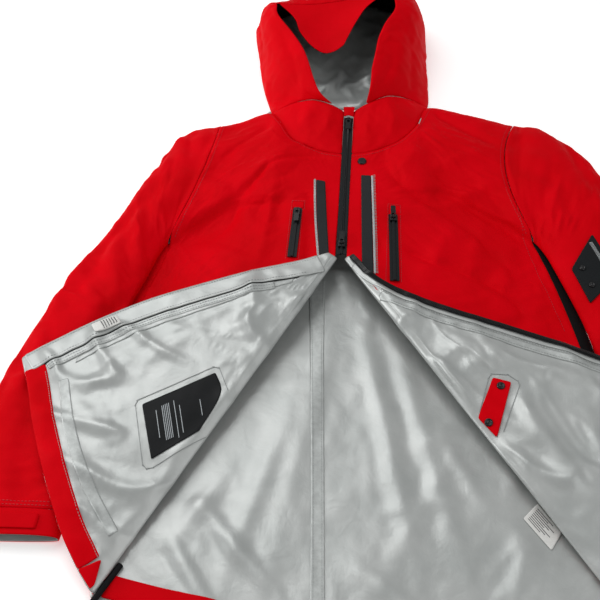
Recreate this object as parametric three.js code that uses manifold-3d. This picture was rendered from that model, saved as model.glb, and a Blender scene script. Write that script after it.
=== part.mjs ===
import * as THREE from "three";
import { mergeVertices } from "three/addons/utils/BufferGeometryUtils.js";
import Module from "manifold-3d";

const wasm = await Module();
wasm.setup();

// Hardshell jacket, lying face up, lower fronts folded open. Millimetres, +Z up.
const clothThickness = 1.6;
const trimThickness = 1.0;
const seat = 0.3;
const slack = 0.1; // extra air under a seam that is only tacked down
const bow = 0.25; // air left under a strip for the curve of the cloth below it

// Overall sizes. The pattern is drafted at the first pair and graded to the second.
const drafted = { width: 903, length: 1172 };
const jacketWidth = 903;
const jacketLength = 1172;
const grade = { x: jacketWidth / drafted.width, y: jacketLength / drafted.length };
function graded(points) {
  return points.map((q) => [q[0] * grade.x, q[1] * grade.y, ...q.slice(2)]);
}

const zipY = { low: -50 * grade.y, high: 238 * grade.y };
const zipTapeWidth = 7.0;
const zipLevel = 34;
const chainHalf = 1.9;
const sliderLength = 12;
const pullLength = 22;
const chestZipWidth = 13;
const hemBand = 27;
const stormFlapWidth = 28;
const pipingWidth = 3;
const cordRadius = 3.6;
const sleeveLoft = { height: 26, swell: 3, taper: 6 };

const red = 0xc8001c;
const silver = 0xb4b8b5;
const black = 0x1d2122;
const white = 0xe9e9e4;

const jacket = new THREE.Group();
jacket.name = "hardshell_jacket";

function material(color, roughness, metalness) {
  return new THREE.MeshStandardMaterial({ color, roughness, metalness, side: THREE.FrontSide });
}

function signedVolume(geometry) {
  const p = geometry.attributes.position;
  const index = geometry.index;
  const a = new THREE.Vector3();
  const b = new THREE.Vector3();
  const c = new THREE.Vector3();
  let sum = 0;
  for (let i = 0; i < index.count; i += 3) {
    a.fromBufferAttribute(p, index.getX(i));
    b.fromBufferAttribute(p, index.getX(i + 1));
    c.fromBufferAttribute(p, index.getX(i + 2));
    sum += a.dot(b.cross(c));
  }
  return sum / 6;
}

function closed(geometry) {
  if (geometry.attributes.normal) geometry.deleteAttribute("normal");
  if (geometry.attributes.uv) geometry.deleteAttribute("uv");
  const merged = mergeVertices(geometry, 1e-5);
  if (signedVolume(merged) < 0) {
    const index = merged.index;
    for (let i = 0; i < index.count; i += 3) {
      const keep = index.getX(i);
      index.setX(i, index.getX(i + 1));
      index.setX(i + 1, keep);
    }
  }
  merged.computeVertexNormals();
  return merged;
}

function add(name, geometry, color, roughness = 0.6, metalness = 0) {
  const mesh = new THREE.Mesh(closed(geometry), material(color, roughness, metalness));
  mesh.name = name;
  jacket.add(mesh);
  return mesh;
}

function curve(points) {
  const list = points.map((p) => new THREE.Vector3(p[0], p[1], p[2] ?? 0));
  return new THREE.CatmullRomCurve3(list, false, "centripetal");
}

// A piece of cloth spanned between four edge curves; bulge pushes its middle out along the normal.
function patch(edges, options = {}) {
  const bottom = curve(edges.bottom);
  const top = curve(edges.top);
  const left = curve(edges.left);
  const right = curve(edges.right);
  const wide = Math.max(bottom.getLength(), top.getLength());
  const tall = Math.max(left.getLength(), right.getLength());
  const inset = options.inset ?? 0.3;
  const trim = { left: inset, right: inset, bottom: inset, top: inset, ...options.trim };
  const startU = trim.left / wide;
  const spanU = 1 - startU - trim.right / wide;
  const startV = trim.bottom / tall;
  const spanV = 1 - startV - trim.top / tall;
  const cornerA = bottom.getPointAt(0);
  const cornerB = bottom.getPointAt(1);
  const cornerC = top.getPointAt(0);
  const cornerD = top.getPointAt(1);
  function plain(u, v) {
    const s = bottom.getPointAt(u).multiplyScalar(1 - v);
    s.addScaledVector(top.getPointAt(u), v);
    s.addScaledVector(left.getPointAt(v), 1 - u);
    s.addScaledVector(right.getPointAt(v), u);
    s.addScaledVector(cornerA, -(1 - u) * (1 - v));
    s.addScaledVector(cornerB, -u * (1 - v));
    s.addScaledVector(cornerC, -(1 - u) * v);
    s.addScaledVector(cornerD, -u * v);
    return s;
  }
  function bulged(u, v) {
    const s = plain(u, v);
    const push = (options.bulge ?? 0) * Math.sin(Math.PI * u) * Math.sin(Math.PI * v);
    if (push !== 0) s.addScaledVector(options.direction ?? new THREE.Vector3(0, 0, 1), push);
    return s;
  }
  function clampUnit(t) {
    return Math.min(1, Math.max(0, t));
  }
  function point(u, v) {
    return bulged(clampUnit(startU + u * spanU), clampUnit(startV + v * spanV));
  }
  function normal(u, v) {
    const step = 0.01;
    const u0 = Math.max(0, u - step);
    const u1 = Math.min(1, u + step);
    const v0 = Math.max(0, v - step);
    const v1 = Math.min(1, v + step);
    const du = point(u1, v).sub(point(u0, v));
    const dv = point(u, v1).sub(point(u, v0));
    const n = du.cross(dv).normalize();
    if (options.flip) n.negate();
    return n;
  }
  function locate(x, y) {
    let u = 0.5;
    let v = 0.5;
    let best = Infinity;
    for (let i = 0; i <= 10; i += 1) {
      for (let j = 0; j <= 10; j += 1) {
        const s = point(i / 10, j / 10);
        const d = (s.x - x) ** 2 + (s.y - y) ** 2;
        if (d < best) {
          best = d;
          u = i / 10;
          v = j / 10;
        }
      }
    }
    for (let k = 0; k < 8; k += 1) {
      const h = 0.002;
      const s = point(u, v);
      const su = point(u + h, v).sub(point(u - h, v)).divideScalar(2 * h);
      const sv = point(u, v + h).sub(point(u, v - h)).divideScalar(2 * h);
      const det = su.x * sv.y - su.y * sv.x;
      if (Math.abs(det) < 1e-6) break;
      const ex = x - s.x;
      const ey = y - s.y;
      u = Math.min(0.997, Math.max(0.003, u + (ex * sv.y - ey * sv.x) / det));
      v = Math.min(0.997, Math.max(0.003, v + (su.x * ey - su.y * ex) / det));
    }
    return [u, v];
  }
  return { point, normal, locate };
}

function clothPanel(name, surface, color, nu, nv, thickness = clothThickness) {
  const box = new THREE.BoxGeometry(1, 1, 1, nu, nv, 1);
  const p = box.attributes.position;
  for (let i = 0; i < p.count; i += 1) {
    const u = Math.round((p.getX(i) + 0.5) * nu) / nu;
    const v = Math.round((p.getY(i) + 0.5) * nv) / nv;
    const s = surface.point(u, v);
    s.addScaledVector(surface.normal(u, v), Math.sign(p.getZ(i)) * thickness / 2);
    p.setXYZ(i, s.x, s.y, s.z);
  }
  return add(name, box, color, 0.55);
}

// A strip that follows a surface between two guide lines given in plan.
function strip(name, surface, guideA, guideB, color, nu, nv, options = {}) {
  const thickness = options.thickness ?? trimThickness;
  const lift = (options.lift ?? clothThickness / 2 + seat + bow) + thickness / 2;
  const lineA = curve(guideA);
  const lineB = curve(guideB);
  const box = new THREE.BoxGeometry(1, 1, 1, nu, nv, 1);
  const p = box.attributes.position;
  for (let i = 0; i < p.count; i += 1) {
    const u = Math.round((p.getX(i) + 0.5) * nu) / nu;
    const v = Math.round((p.getY(i) + 0.5) * nv) / nv;
    const plan = lineA.getPointAt(u).lerp(lineB.getPointAt(u), v);
    const at = surface.locate(plan.x, plan.y);
    const s = surface.point(at[0], at[1]);
    const n = surface.normal(at[0], at[1]);
    s.addScaledVector(n, lift + Math.sign(p.getZ(i)) * thickness / 2);
    p.setXYZ(i, s.x, s.y, s.z);
  }
  return add(name, box, color, options.roughness ?? 0.6);
}

// Frame standing on a surface: origin just clear of the cloth under a footprint, Y along a heading.
function standOn(surface, x, y, heading, length, width, base = clothThickness / 2 + seat) {
  const at = surface.locate(x, y);
  const origin = surface.point(at[0], at[1]);
  const ahead = new THREE.Vector3(Math.sin(heading), Math.cos(heading), 0);
  const first = surface.locate(x - ahead.x * length / 2, y - ahead.y * length / 2);
  const last = surface.locate(x + ahead.x * length / 2, y + ahead.y * length / 2);
  const along = surface.point(last[0], last[1]).sub(surface.point(first[0], first[1])).normalize();
  const n = surface.normal(at[0], at[1]);
  const across = along.clone().cross(n).normalize();
  const up = across.clone().cross(along).normalize();
  let raise = -Infinity;
  for (let i = -6; i <= 6; i += 1) {
    for (const side of [-1, 0, 1]) {
      const q = origin.clone();
      q.addScaledVector(along, i * length / 12);
      q.addScaledVector(across, side * width / 2);
      const under = surface.locate(q.x, q.y);
      const s = surface.point(under[0], under[1]);
      raise = Math.max(raise, s.sub(origin).dot(up));
    }
  }
  origin.addScaledVector(up, raise + base);
  return new THREE.Matrix4().makeBasis(across, along, up).setPosition(origin);
}

function extrudeFlat(points, depth, holes = []) {
  const shape = new THREE.Shape(points.map((q) => new THREE.Vector2(q[0], q[1])));
  for (const hole of holes) {
    shape.holes.push(new THREE.Path(hole.map((q) => new THREE.Vector2(q[0], q[1]))));
  }
  return new THREE.ExtrudeGeometry(shape, { depth, bevelEnabled: false, steps: 1 });
}

// Profile in XZ swept along Y from y0 to y1.
function sweepY(profile, y0, y1, steps = 1) {
  const shape = new THREE.Shape(profile.map((q) => new THREE.Vector2(q[0], q[1])));
  const g = new THREE.ExtrudeGeometry(shape, { depth: y1 - y0, bevelEnabled: false, steps });
  g.rotateX(Math.PI / 2);
  g.translate(0, y1, 0);
  return g;
}

function roundedRect(w, h, r, cx = 0, cy = 0, segments = 4) {
  const pts = [];
  const corners = [[1, -1, -90], [1, 1, 0], [-1, 1, 90], [-1, -1, 180]];
  for (const c of corners) {
    for (let i = 0; i <= segments; i += 1) {
      const a = (c[2] + (90 * i) / segments) * Math.PI / 180;
      pts.push([cx + c[0] * (w / 2 - r) + r * Math.cos(a), cy + c[1] * (h / 2 - r) + r * Math.sin(a)]);
    }
  }
  return pts;
}

// ---- sleeves: flattened tubes between an outer and an inner edge line
const sleeveLines = {
  right: {
    outer: graded([[-200, 236], [-252, 214], [-290, 115], [-323, 20], [-352, -50], [-378, -120], [-408, -221],
      [-421, -300], [-422, -390], [-414, -440], [-406, -487]]),
    inner: graded([[-246, -20], [-250, -30], [-256, -52], [-264, -88], [-275, -128], [-285, -180], [-290, -245],
      [-291, -315], [-290, -388], [-293, -436], [-298, -482]]),
  },
  left: {
    outer: graded([[262, 268], [302, 258], [350, 213], [382, 148], [415, 72], [443, -5], [466, -90],
      [478, -180], [480, -280], [474, -385], [460, -475]]),
    inner: graded([[272, 20], [277, 10], [287, -14], [298, -46], [311, -86], [324, -130], [335, -185],
      [343, -250], [348, -325], [351, -405], [352, -480]]),
  },
};
const armholeDip = { right: 10 * grade.x, left: -30 * grade.x };

function sleeveSection(side) {
  const outer = curve(sleeveLines[side].outer);
  const inner = curve(sleeveLines[side].inner);
  return function at(t, angle, wall) {
    const o = outer.getPoint(t);
    const i = inner.getPoint(t);
    const centre = o.clone().add(i).multiplyScalar(0.5);
    const half = o.clone().sub(i).multiplyScalar(0.5);
    const reach = half.length();
    const height = sleeveLoft.height + sleeveLoft.swell * Math.sin(Math.PI * Math.min(1, t * 2.2)) -
      sleeveLoft.taper * t;
    const edge = height * (0.12 + 0.24 * Math.min(1, t * 5));
    const c = Math.cos(angle);
    const s = Math.sin(angle);
    const p = centre.addScaledVector(half, c * (reach - wall) / reach);
    p.x += armholeDip[side] * Math.max(0, 1 - t * 6) * (1 - c * c);
    const floor = clothThickness / 2;
    if (s >= 0) p.z = floor + edge + (height - edge - wall) * Math.pow(s, 0.72);
    else p.z = floor + edge - (edge - wall) * Math.pow(-s, 0.55);
    return p;
  };
}

function tube(name, section, t0, t1, steps, around, color, wall = clothThickness) {
  const profile = [];
  for (let j = 0; j <= steps; j += 1) profile.push([t0 + ((t1 - t0) * j) / steps, 0]);
  for (let j = steps; j >= 0; j -= 1) profile.push([t0 + ((t1 - t0) * j) / steps, wall]);
  profile.push([t0, 0]);
  const lathe = new THREE.LatheGeometry(profile.map((q, k) => new THREE.Vector2(2 + q[1], k)), around);
  const p = lathe.attributes.position;
  const rows = profile.length;
  for (let i = 0; i <= around; i += 1) {
    for (let j = 0; j < rows; j += 1) {
      const angle = (2 * Math.PI * (i % around)) / around;
      const s = section(profile[j][0], angle, profile[j][1]);
      p.setXYZ(i * rows + j, s.x, s.y, s.z);
    }
  }
  return add(name, lathe, color, 0.55);
}

const rightSleeve = sleeveSection("right");
const leftSleeve = sleeveSection("left");
const cuffSeam = { above: 0.93, below: 0.9306 };
for (const [side, section] of [["right", rightSleeve], ["left", leftSleeve]]) {
  tube(`${side}_sleeve`, section, 0.006, cuffSeam.above, 26, 20, red);
  tube(`${side}_cuff`, section, cuffSeam.below, 1.0, 3, 20, red);
}

function armhole(section, from, to, n, shift) {
  const list = [];
  for (let i = 0; i <= n; i += 1) {
    const p = section(0, from + ((to - from) * i) / n, 0);
    list.push([p.x + shift, p.y, p.z]);
  }
  return list;
}

// ---- back, lying on the table
const backOutline = {
  hem: graded([[-252, -545], [-190, -556], [-100, -571], [20, -580], [150, -578], [250, -562], [334, -540]]),
  rightSide: graded([[-252, -545], [-265, -470], [-279, -380], [-284, -280], [-279, -190], [-267, -120], [-252, -60],
    [-244.5, -22], [-227, 30], [-215, 108], [-206, 180], [-201, 235]]),
  leftSide: graded([[334, -540], [341, -440], [339, -330], [329, -220], [315, -140], [293, -50], [271, 18],
    [250, 60], [238, 140], [246, 210], [259, 266]]),
  neck: graded([[-201, 235], [-150, 258], [-124, 288], [-60, 293], [0, 294], [60, 299], [116, 310], [150, 294],
    [259, 266]]),
};
function flat(points, z) {
  return points.map((q) => [q[0], q[1], z]);
}
const backMid = clothThickness / 2;
const backSurface = patch({
  bottom: flat(backOutline.hem, backMid),
  top: flat(backOutline.neck, backMid),
  left: flat(backOutline.rightSide, backMid),
  right: flat(backOutline.leftSide, backMid),
}, { inset: 1.2 });
clothPanel("back_panel", backSurface, silver, 14, 20);

// ---- folds: the lines the lower fronts turn back on
const zipEdge = zipTapeWidth + 0.4;
const foldStart = zipEdge + 0.6;
const folds = {
  right: { from: [-foldStart / grade.x, -60, zipLevel + 3.5], to: [-250, -541, 8] },
  left: { from: [foldStart / grade.x, -60, zipLevel + 3.5], to: [331, -528, 8] },
};
for (const fold of Object.values(folds)) [fold.from, fold.to] = graded([fold.from, fold.to]);
const foldDrop = 3.5;
function foldPoint(side, t, out, up) {
  const a = new THREE.Vector3(...folds[side].from);
  const b = new THREE.Vector3(...folds[side].to);
  const dir = b.clone().sub(a).normalize();
  const sideways = new THREE.Vector3(0, 0, 1).cross(dir).normalize();
  if (side === "right") sideways.negate();
  const p = a.lerp(b, t).addScaledVector(sideways, out);
  return [p.x, p.y, p.z + up];
}
function foldLine(side, out, up) {
  return [0, 0.25, 0.5, 0.75, 1].map((t) => foldPoint(side, t, out, up));
}

// ---- upper fronts
const seamLevel = clothThickness * 1.5 + seat + slack;
const neckline = {
  right: graded([[-198, 238, seamLevel + 1], [-158, 251, 9], [-124, 262, 17], [-104, 226, 28], [-84, 186, 32],
    [-44, 160, zipLevel], [-zipEdge / grade.x, 154, zipLevel]]),
  left: graded([[zipEdge / grade.x, 156, zipLevel], [34, 162, zipLevel], [76, 189, 33], [106, 236, 28],
    [126, 292, 17], [190, 285, 9], [258, 270, seamLevel + 1]]),
};
const rightArm = armhole(rightSleeve, Math.PI, 0, 8, 0.5);
const leftArm = armhole(leftSleeve, Math.PI, 0, 8, -0.5);
[rightArm[0], leftArm[0]] = graded([[-243.5, -22, seamLevel + 0.8], [270.5, 18, seamLevel + 0.8]]);
rightArm[8] = neckline.right[0];
leftArm[8] = neckline.left[6];
const rightBody = [foldPoint("right", 1, 0, -foldDrop), ...graded([[-263, -470, seamLevel], [-277, -380, seamLevel],
  [-282, -280, seamLevel], [-277, -190, seamLevel], [-265, -120, seamLevel], [-251, -62, seamLevel],
  [-246, -36, seamLevel + 0.2]])];
const leftBody = [foldPoint("left", 1, 0, -foldDrop), ...graded([[339, -440, seamLevel], [337, -330, seamLevel],
  [327, -220, seamLevel], [313, -140, seamLevel], [291, -46, seamLevel], [276, 4, seamLevel + 0.2]])];
const rightFront = patch({
  bottom: foldLine("right", 0, -foldDrop).reverse(),
  top: neckline.right,
  left: rightBody.concat(rightArm),
  right: [foldPoint("right", 0, 0, -foldDrop), [-zipEdge, 40 * grade.y, zipLevel], neckline.right[6]],
}, { bulge: 4, inset: 0.35, trim: { top: 4.5, right: 0 } });
const leftFront = patch({
  bottom: foldLine("left", 0, -foldDrop),
  top: neckline.left,
  left: [foldPoint("left", 0, 0, -foldDrop), [zipEdge, 40 * grade.y, zipLevel], neckline.left[0]],
  right: leftBody.concat(leftArm),
}, { bulge: 4, inset: 0.35, trim: { top: 4.5, left: 0 } });
clothPanel("right_front_panel", rightFront, red, 18, 22);
clothPanel("left_front_panel", leftFront, red, 18, 22);

// ---- main zip: two tapes with half a chain each, and a garage over the top end
function halfTape(side) {
  const s = side;
  return [[s * 0.2, 0], [s * zipTapeWidth, 0], [s * zipTapeWidth, 1.2], [s * 1.2, 1.2], [s * 1.2, 2.4],
    [s * chainHalf, 2.4], [s * chainHalf, 3.4], [s * 0.2, 3.4]];
}
function mainTape(name, side) {
  const g = sweepY(halfTape(side), zipY.low, zipY.high, 12);
  g.translate(0, 0, zipLevel - clothThickness / 2);
  add(name, g, black, 0.6);
}
mainTape("main_zip_right_tape", -1);
mainTape("main_zip_left_tape", 1);

// ---- sliders and pulls
const sliderProfile = [[-4.6, 1.5], [-1.5, 1.5], [-1.5, 2.1], [-2.2, 2.1], [-2.2, 3.7], [2.2, 3.7], [2.2, 2.1],
  [1.5, 2.1], [1.5, 1.5], [4.6, 1.5], [4.6, 4.6], [4.2, 5.0], [-4.2, 5.0], [-4.6, 4.6]];
function solid(geometry) {
  const g = closed(geometry);
  return new wasm.Manifold(new wasm.Mesh({
    numProp: 3,
    vertProperties: new Float32Array(g.attributes.position.array),
    triVerts: new Uint32Array(g.index.array),
  }));
}
function joined(a, b) {
  const mesh = solid(a).add(solid(b)).getMesh();
  const g = new THREE.BufferGeometry();
  g.setAttribute("position", new THREE.BufferAttribute(new Float32Array(mesh.vertProperties), 3));
  g.setIndex(new THREE.BufferAttribute(new Uint32Array(mesh.triVerts), 1));
  return g;
}
const bail = { inside: 1.9, outside: 2.9, under: 7.4, over: 8.4, half: 0.6 };
function slider(name, frame) {
  const body = sweepY(sliderProfile, -sliderLength / 2, sliderLength / 2, 1);
  const arch = extrudeFlat([[-bail.outside, 4.4], [-bail.inside, 4.4], [-bail.inside, bail.under - 0.5],
    [-bail.inside + 0.5, bail.under], [bail.inside - 0.5, bail.under], [bail.inside, bail.under - 0.5],
    [bail.inside, 4.4], [bail.outside, 4.4], [bail.outside, bail.over - 0.7], [bail.outside - 0.7, bail.over],
    [-bail.outside + 0.7, bail.over], [-bail.outside, bail.over - 0.7]], bail.half * 2);
  arch.rotateX(Math.PI / 2);
  arch.rotateZ(Math.PI / 2);
  arch.translate(-bail.half, 0, 0);
  const g = joined(body, arch);
  g.applyMatrix4(frame);
  add(name, g, black, 0.35, 0.5);
}
const pivotHeight = 6.1;
function pull(name, frame, away) {
  const outer = roundedRect(7.2, pullLength, 2.0, 0, pullLength / 2 - 0.8);
  const slot = roundedRect(4.2, 5.6, 0.4, 0, 3.6, 2);
  const g = extrudeFlat(outer, 1.2, [slot]);
  g.translate(0, 0, -0.6);
  if (away < 0) g.rotateZ(Math.PI);
  g.translate(0, 0, pivotHeight);
  g.applyMatrix4(frame);
  add(name, g, black, 0.45);
}
const mainFrame = (y) => new THREE.Matrix4().makeTranslation(0, y, zipLevel - clothThickness / 2);
const parked = { upper: zipY.high - 10, lower: zipY.low + 18 };
slider("main_upper_slider", mainFrame(parked.upper));
pull("main_upper_pull", mainFrame(parked.upper), -1);
slider("main_lower_slider", mainFrame(parked.lower));
pull("main_lower_pull", mainFrame(parked.lower), 1);

function chestZip(side, surface, x, y, length, heading, sliderAt, away) {
  const frame = standOn(surface, x * grade.x, y * grade.y, heading, length, chestZipWidth);
  const w = chestZipWidth / 2;
  const profile = [[-w, 0], [w, 0], [w, 1.2], [1.2, 1.2], [1.2, 2.4], [chainHalf, 2.4], [chainHalf, 3.4],
    [-chainHalf, 3.4], [-chainHalf, 2.4], [-1.2, 2.4], [-1.2, 1.2], [-w, 1.2]];
  const g = sweepY(profile, -length / 2, length / 2, 6);
  g.applyMatrix4(frame);
  add(`${side}_chest_zip`, g, black, 0.6);
  const shifted = frame.clone().multiply(new THREE.Matrix4().makeTranslation(0, sliderAt, 0));
  slider(`${side}_chest_slider`, shifted);
  pull(`${side}_chest_pull`, shifted, away);
  return frame;
}
const rightChestFrame = chestZip("right", rightFront, -66, -12, 92, 0.02, 38, -1);
const leftChestFrame = chestZip("left", leftFront, 72, -30, 122, -0.03, 52, 1);

// ---- front trims
const welts = {
  right: { a: graded([[-42, 92], [-37, 20], [-29, -52]]), b: graded([[-29, 91], [-23, 20], [-16, -53]]) },
  left: { a: graded([[23, 108], [26, 20], [29, -64]]), b: graded([[37, 107], [41, 20], [44, -66]]) },
};
function beside(line, distance) {
  return line.map((q) => [q[0] + distance, q[1]]);
}
const weltLift = clothThickness / 2 + 0.7;
const pipingGap = 0.8;
strip("right_welt_strip", rightFront, welts.right.b, welts.right.a, black, 10, 2, { lift: weltLift });
strip("left_welt_strip", leftFront, welts.left.a, welts.left.b, black, 10, 2);
strip("right_reflective_piping", rightFront, beside(welts.right.a, -pipingGap),
  beside(welts.right.a, -pipingGap - pipingWidth), silver, 10, 1, { lift: weltLift });
strip("left_reflective_piping", leftFront, beside(welts.left.b, pipingGap),
  beside(welts.left.b, pipingGap + pipingWidth), silver, 10, 1);
const [stopCentre] = graded([[-65, 46.5]]);
const stopBox = { side: 8, below: 10, above: 3, thickness: 0.6, lift: clothThickness / 2 + 1.1 };
strip("right_chest_patch", rightFront,
  [[stopCentre[0] - stopBox.side, stopCentre[1] - stopBox.below], [stopCentre[0] - stopBox.side,
    stopCentre[1] + stopBox.above]],
  [[stopCentre[0] + stopBox.side, stopCentre[1] - stopBox.below], [stopCentre[0] + stopBox.side,
    stopCentre[1] + stopBox.above]], red, 3, 3, { thickness: stopBox.thickness, lift: stopBox.lift });

const snapTaper = 0.82;
function disc(name, surface, x, y, radius, height, color, base) {
  const frame = standOn(surface, x * grade.x, y * grade.y, 0, radius * 2, radius * 2, base);
  const g = new THREE.CylinderGeometry(radius * snapTaper, radius, height, 24, 1);
  g.rotateX(Math.PI / 2);
  g.translate(0, 0, height / 2);
  g.applyMatrix4(frame);
  add(name, g, color, 0.4);
}
disc("collar_snap", leftFront, 23.5, 138, 7, 2.4, black);

// ---- collar and hood
const chin = 40;
const collarSeams = {
  right: graded([[-zipEdge / grade.x, 246, chin], [-26, 252, 47], [-58, 266, 44], [-92, 270, 30],
    [-123, 264, 15]]),
  left: graded([[zipEdge / grade.x, 247, chin], [24, 256, 47], [60, 280, 46], [96, 294, 30], [125, 294, 15]]),
};
function partOf(points, from, to, n) {
  const c = curve(points);
  const list = [];
  for (let i = 0; i <= n; i += 1) list.push(c.getPoint(from + ((to - from) * i) / n).toArray());
  return list;
}
const rightCollar = patch({
  bottom: partOf(neckline.right, 2 / 6, 1, 16),
  top: collarSeams.right.slice().reverse(),
  left: [neckline.right[2], collarSeams.right[4]],
  right: [neckline.right[6], [-zipEdge, 205 * grade.y, zipLevel], collarSeams.right[0]],
}, { bulge: 5, inset: 0.8, trim: { right: 0.05 } });
const leftCollar = patch({
  bottom: partOf(neckline.left, 0, 4 / 6, 16),
  top: collarSeams.left,
  left: [neckline.left[0], [zipEdge, 205 * grade.y, zipLevel], collarSeams.left[0]],
  right: [neckline.left[4], collarSeams.left[4]],
}, { bulge: 5, inset: 0.8, trim: { left: 0.05 } });
clothPanel("collar_right", rightCollar, red, 12, 8);
clothPanel("collar_left", leftCollar, red, 12, 8);

const ground = seamLevel;
const rightHood = patch({
  bottom: graded([[-120, 270, 14], [-128, 290, ground], [-141, 335, ground], [-151, 400, ground], [-160, 464, ground],
    [-152, 520, ground]]),
  top: graded([[-26, 253, 48], [-46, 262, 62], [-58, 284, 74], [-68, 311, 86], [-78, 335, 92], [-98, 368, 98],
    [-124, 414, 99], [-128, 446, 96]]),
  left: graded([[-120, 270, 14], [-92, 272, 31], [-58, 268, 45], [-26, 253, 48]]),
  right: graded([[-152, 520, ground], [-158, 496, 30], [-146, 466, 78], [-128, 446, 96]]),
}, { bulge: 14, direction: new THREE.Vector3(-0.7, 0, 0.4), inset: 0.4 });
const leftHood = patch({
  bottom: graded([[26, 257, 48], [31, 275, 70], [32, 302, 82], [36, 328, 90], [40, 360, 96], [50, 396, 101],
    [66, 434, 105], [60, 480, 106]]),
  top: graded([[124, 300, 14], [128, 330, ground], [126, 380, ground], [124, 430, ground], [121, 480, ground],
    [112, 530, ground]]),
  left: graded([[26, 257, 48], [60, 283, 47], [96, 297, 31], [124, 300, 14]]),
  right: graded([[60, 480, 106], [88, 494, 92], [106, 516, 50], [112, 530, ground]]),
}, { bulge: 14, direction: new THREE.Vector3(0.7, 0, 0.4), inset: 0.4 });
const crown = patch({
  bottom: graded([[-152, 521, ground], [-90, 570, ground], [-20, 592, ground], [50, 580, ground], [112, 531, ground]]),
  top: graded([[-128, 447, 96], [-80, 452, 92], [-30, 462, 93], [20, 476, 100], [60, 481, 106]]),
  left: graded([[-152, 521, ground], [-158, 497, 30], [-146, 467, 78], [-128, 447, 96]]),
  right: graded([[112, 531, ground], [106, 517, 50], [88, 495, 92], [60, 481, 106]]),
}, { bulge: 22, direction: new THREE.Vector3(0, 0.6, 0.7), inset: 0.4 });
const brim = patch({
  bottom: graded([[-70, 363, 80], [-56, 351, 77], [-43, 346, 75], [-28, 351, 76], [-14, 363, 80]]),
  top: graded([[-124, 446.6, 96], [-80, 451.2, 92], [-30, 461.2, 93], [20, 475.2, 100], [54, 479.8, 105.6]]),
  left: graded([[-70, 363, 80], [-86, 386, 86], [-96, 415, 90], [-124, 446.6, 96]]),
  right: graded([[-14, 363, 80], [-5, 389, 86], [5, 414, 92], [20, 445, 98], [54, 479.8, 105.6]]),
}, { bulge: -6, inset: 0.3 });
clothPanel("hood_right_panel", rightHood, red, 14, 10);
clothPanel("hood_left_panel", leftHood, red, 14, 10);
clothPanel("hood_crown", crown, red, 14, 10);
clothPanel("hood_brim", brim, black, 10, 8);
const hoodBack = patch({
  bottom: graded([[-132, 303, backMid], [-60, 296, backMid], [0, 298, backMid], [60, 304, backMid], [122, 318, backMid]]),
  top: graded([[-148, 519, backMid], [-88, 564, backMid], [-20, 586, backMid], [48, 574, backMid], [108, 528, backMid]]),
  left: graded([[-132, 303, backMid], [-145, 350, backMid], [-155, 410, backMid], [-162, 470, backMid],
    [-148, 519, backMid]]),
  right: graded([[122, 318, backMid], [125, 380, backMid], [122, 430, backMid], [119, 480, backMid],
    [108, 528, backMid]]),
}, { inset: 1.2 });
clothPanel("hood_back_panel", hoodBack, silver, 10, 10);

// ---- lower fronts, turned back over the body
// Heights of the flap edges are measured from the top of the sleeves that they lie on.
function overSleeves(points) {
  return graded(points).map((q) => [q[0], q[1], q[2] + sleeveLoft.height]);
}
const flapEdges = {
  right: {
    zip: overSleeves([[-17, -54, 15.4], [-55, -72, 15], [-120, -95, 15], [-184, -122, 14], [-246, -151, 13], [-306, -187, 11],
      [-351, -218, 8], [-394, -250, 5]]),
    hem: overSleeves([[-394, -250, 5], [-376, -293, 4], [-360, -338, 3], [-326, -417, 1], [-293, -482, -4],
      [-268, -520, -10]]),
  },
  left: {
    zip: overSleeves([[17, -57, 15.4], [50, -96, 15], [93, -122, 15], [145, -142, 14], [208, -163, 14], [270, -184, 13],
      [331, -206, 11], [406, -236, 7]]),
    hem: overSleeves([[406, -236, 7], [400, -330, 5], [384, -420, 2], [362, -482, -5]]),
  },
};
function flapPatch(side) {
  const lift = 3.6;
  const edges = flapEdges[side];
  const low = foldLine(side, 2, lift);
  return patch({
    bottom: low,
    top: edges.zip,
    left: [low[0], edges.zip[0]],
    right: [low[4]].concat(edges.hem.slice().reverse()),
  }, { inset: 0.2, flip: side === "right" });
}
const rightFlap = flapPatch("right");
const leftFlap = flapPatch("left");
clothPanel("right_lower_front", rightFlap, silver, 24, 14);
clothPanel("left_lower_front", leftFlap, silver, 24, 14);

// Guide line running beside a flap edge at a distance towards the inside of the flap.
function inward(line, distance, side, from = 0, to = 1, n = 10) {
  const c = curve(line);
  const list = [];
  for (let i = 0; i <= n; i += 1) {
    const t = from + ((to - from) * i) / n;
    const p = c.getPointAt(t);
    const d = c.getTangentAt(t).setZ(0).normalize();
    const turn = side === "right" ? 1 : -1;
    list.push([p.x - d.y * distance * turn, p.y + d.x * distance * turn]);
  }
  return list;
}
const rz = flapEdges.right.zip;
const lz = flapEdges.left.zip;
const labelThickness = 0.6;
const coilThickness = 1.8;
const second = clothThickness / 2 + seat + bow + trimThickness + seat;
strip("storm_flap", rightFlap, inward(rz, 1, "right", 0.1, 0.985, 12),
  inward(rz, stormFlapWidth, "right", 0.1, 0.985, 12), silver, 20, 3);
strip("right_lower_zip_tape", rightFlap, inward(rz, stormFlapWidth + 2, "right", 0.2, 0.93, 12),
  inward(rz, stormFlapWidth + 12, "right", 0.2, 0.93, 12), black, 18, 2);
strip("storm_flap_label", rightFlap, graded([[-303, -205], [-282, -192]]), graded([[-296, -224], [-274, -211]]), white, 2, 2,
  { lift: second, thickness: labelThickness });
strip("inner_label_patch", rightFlap, graded([[-228, -312], [-208, -382]]), graded([[-147, -260], [-164, -344]]), black, 5, 5,
  { thickness: 0.8, lift: clothThickness / 2 + seat + slack });
const rh = flapEdges.right.hem;
strip("right_hem_facing", rightFlap, inward(rh, 1, "right", 0.02, 1, 12), inward(rh, hemBand, "right", 0.02, 1, 12),
  red, 14, 2, { lift: second });
const lh = flapEdges.left.hem;
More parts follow.
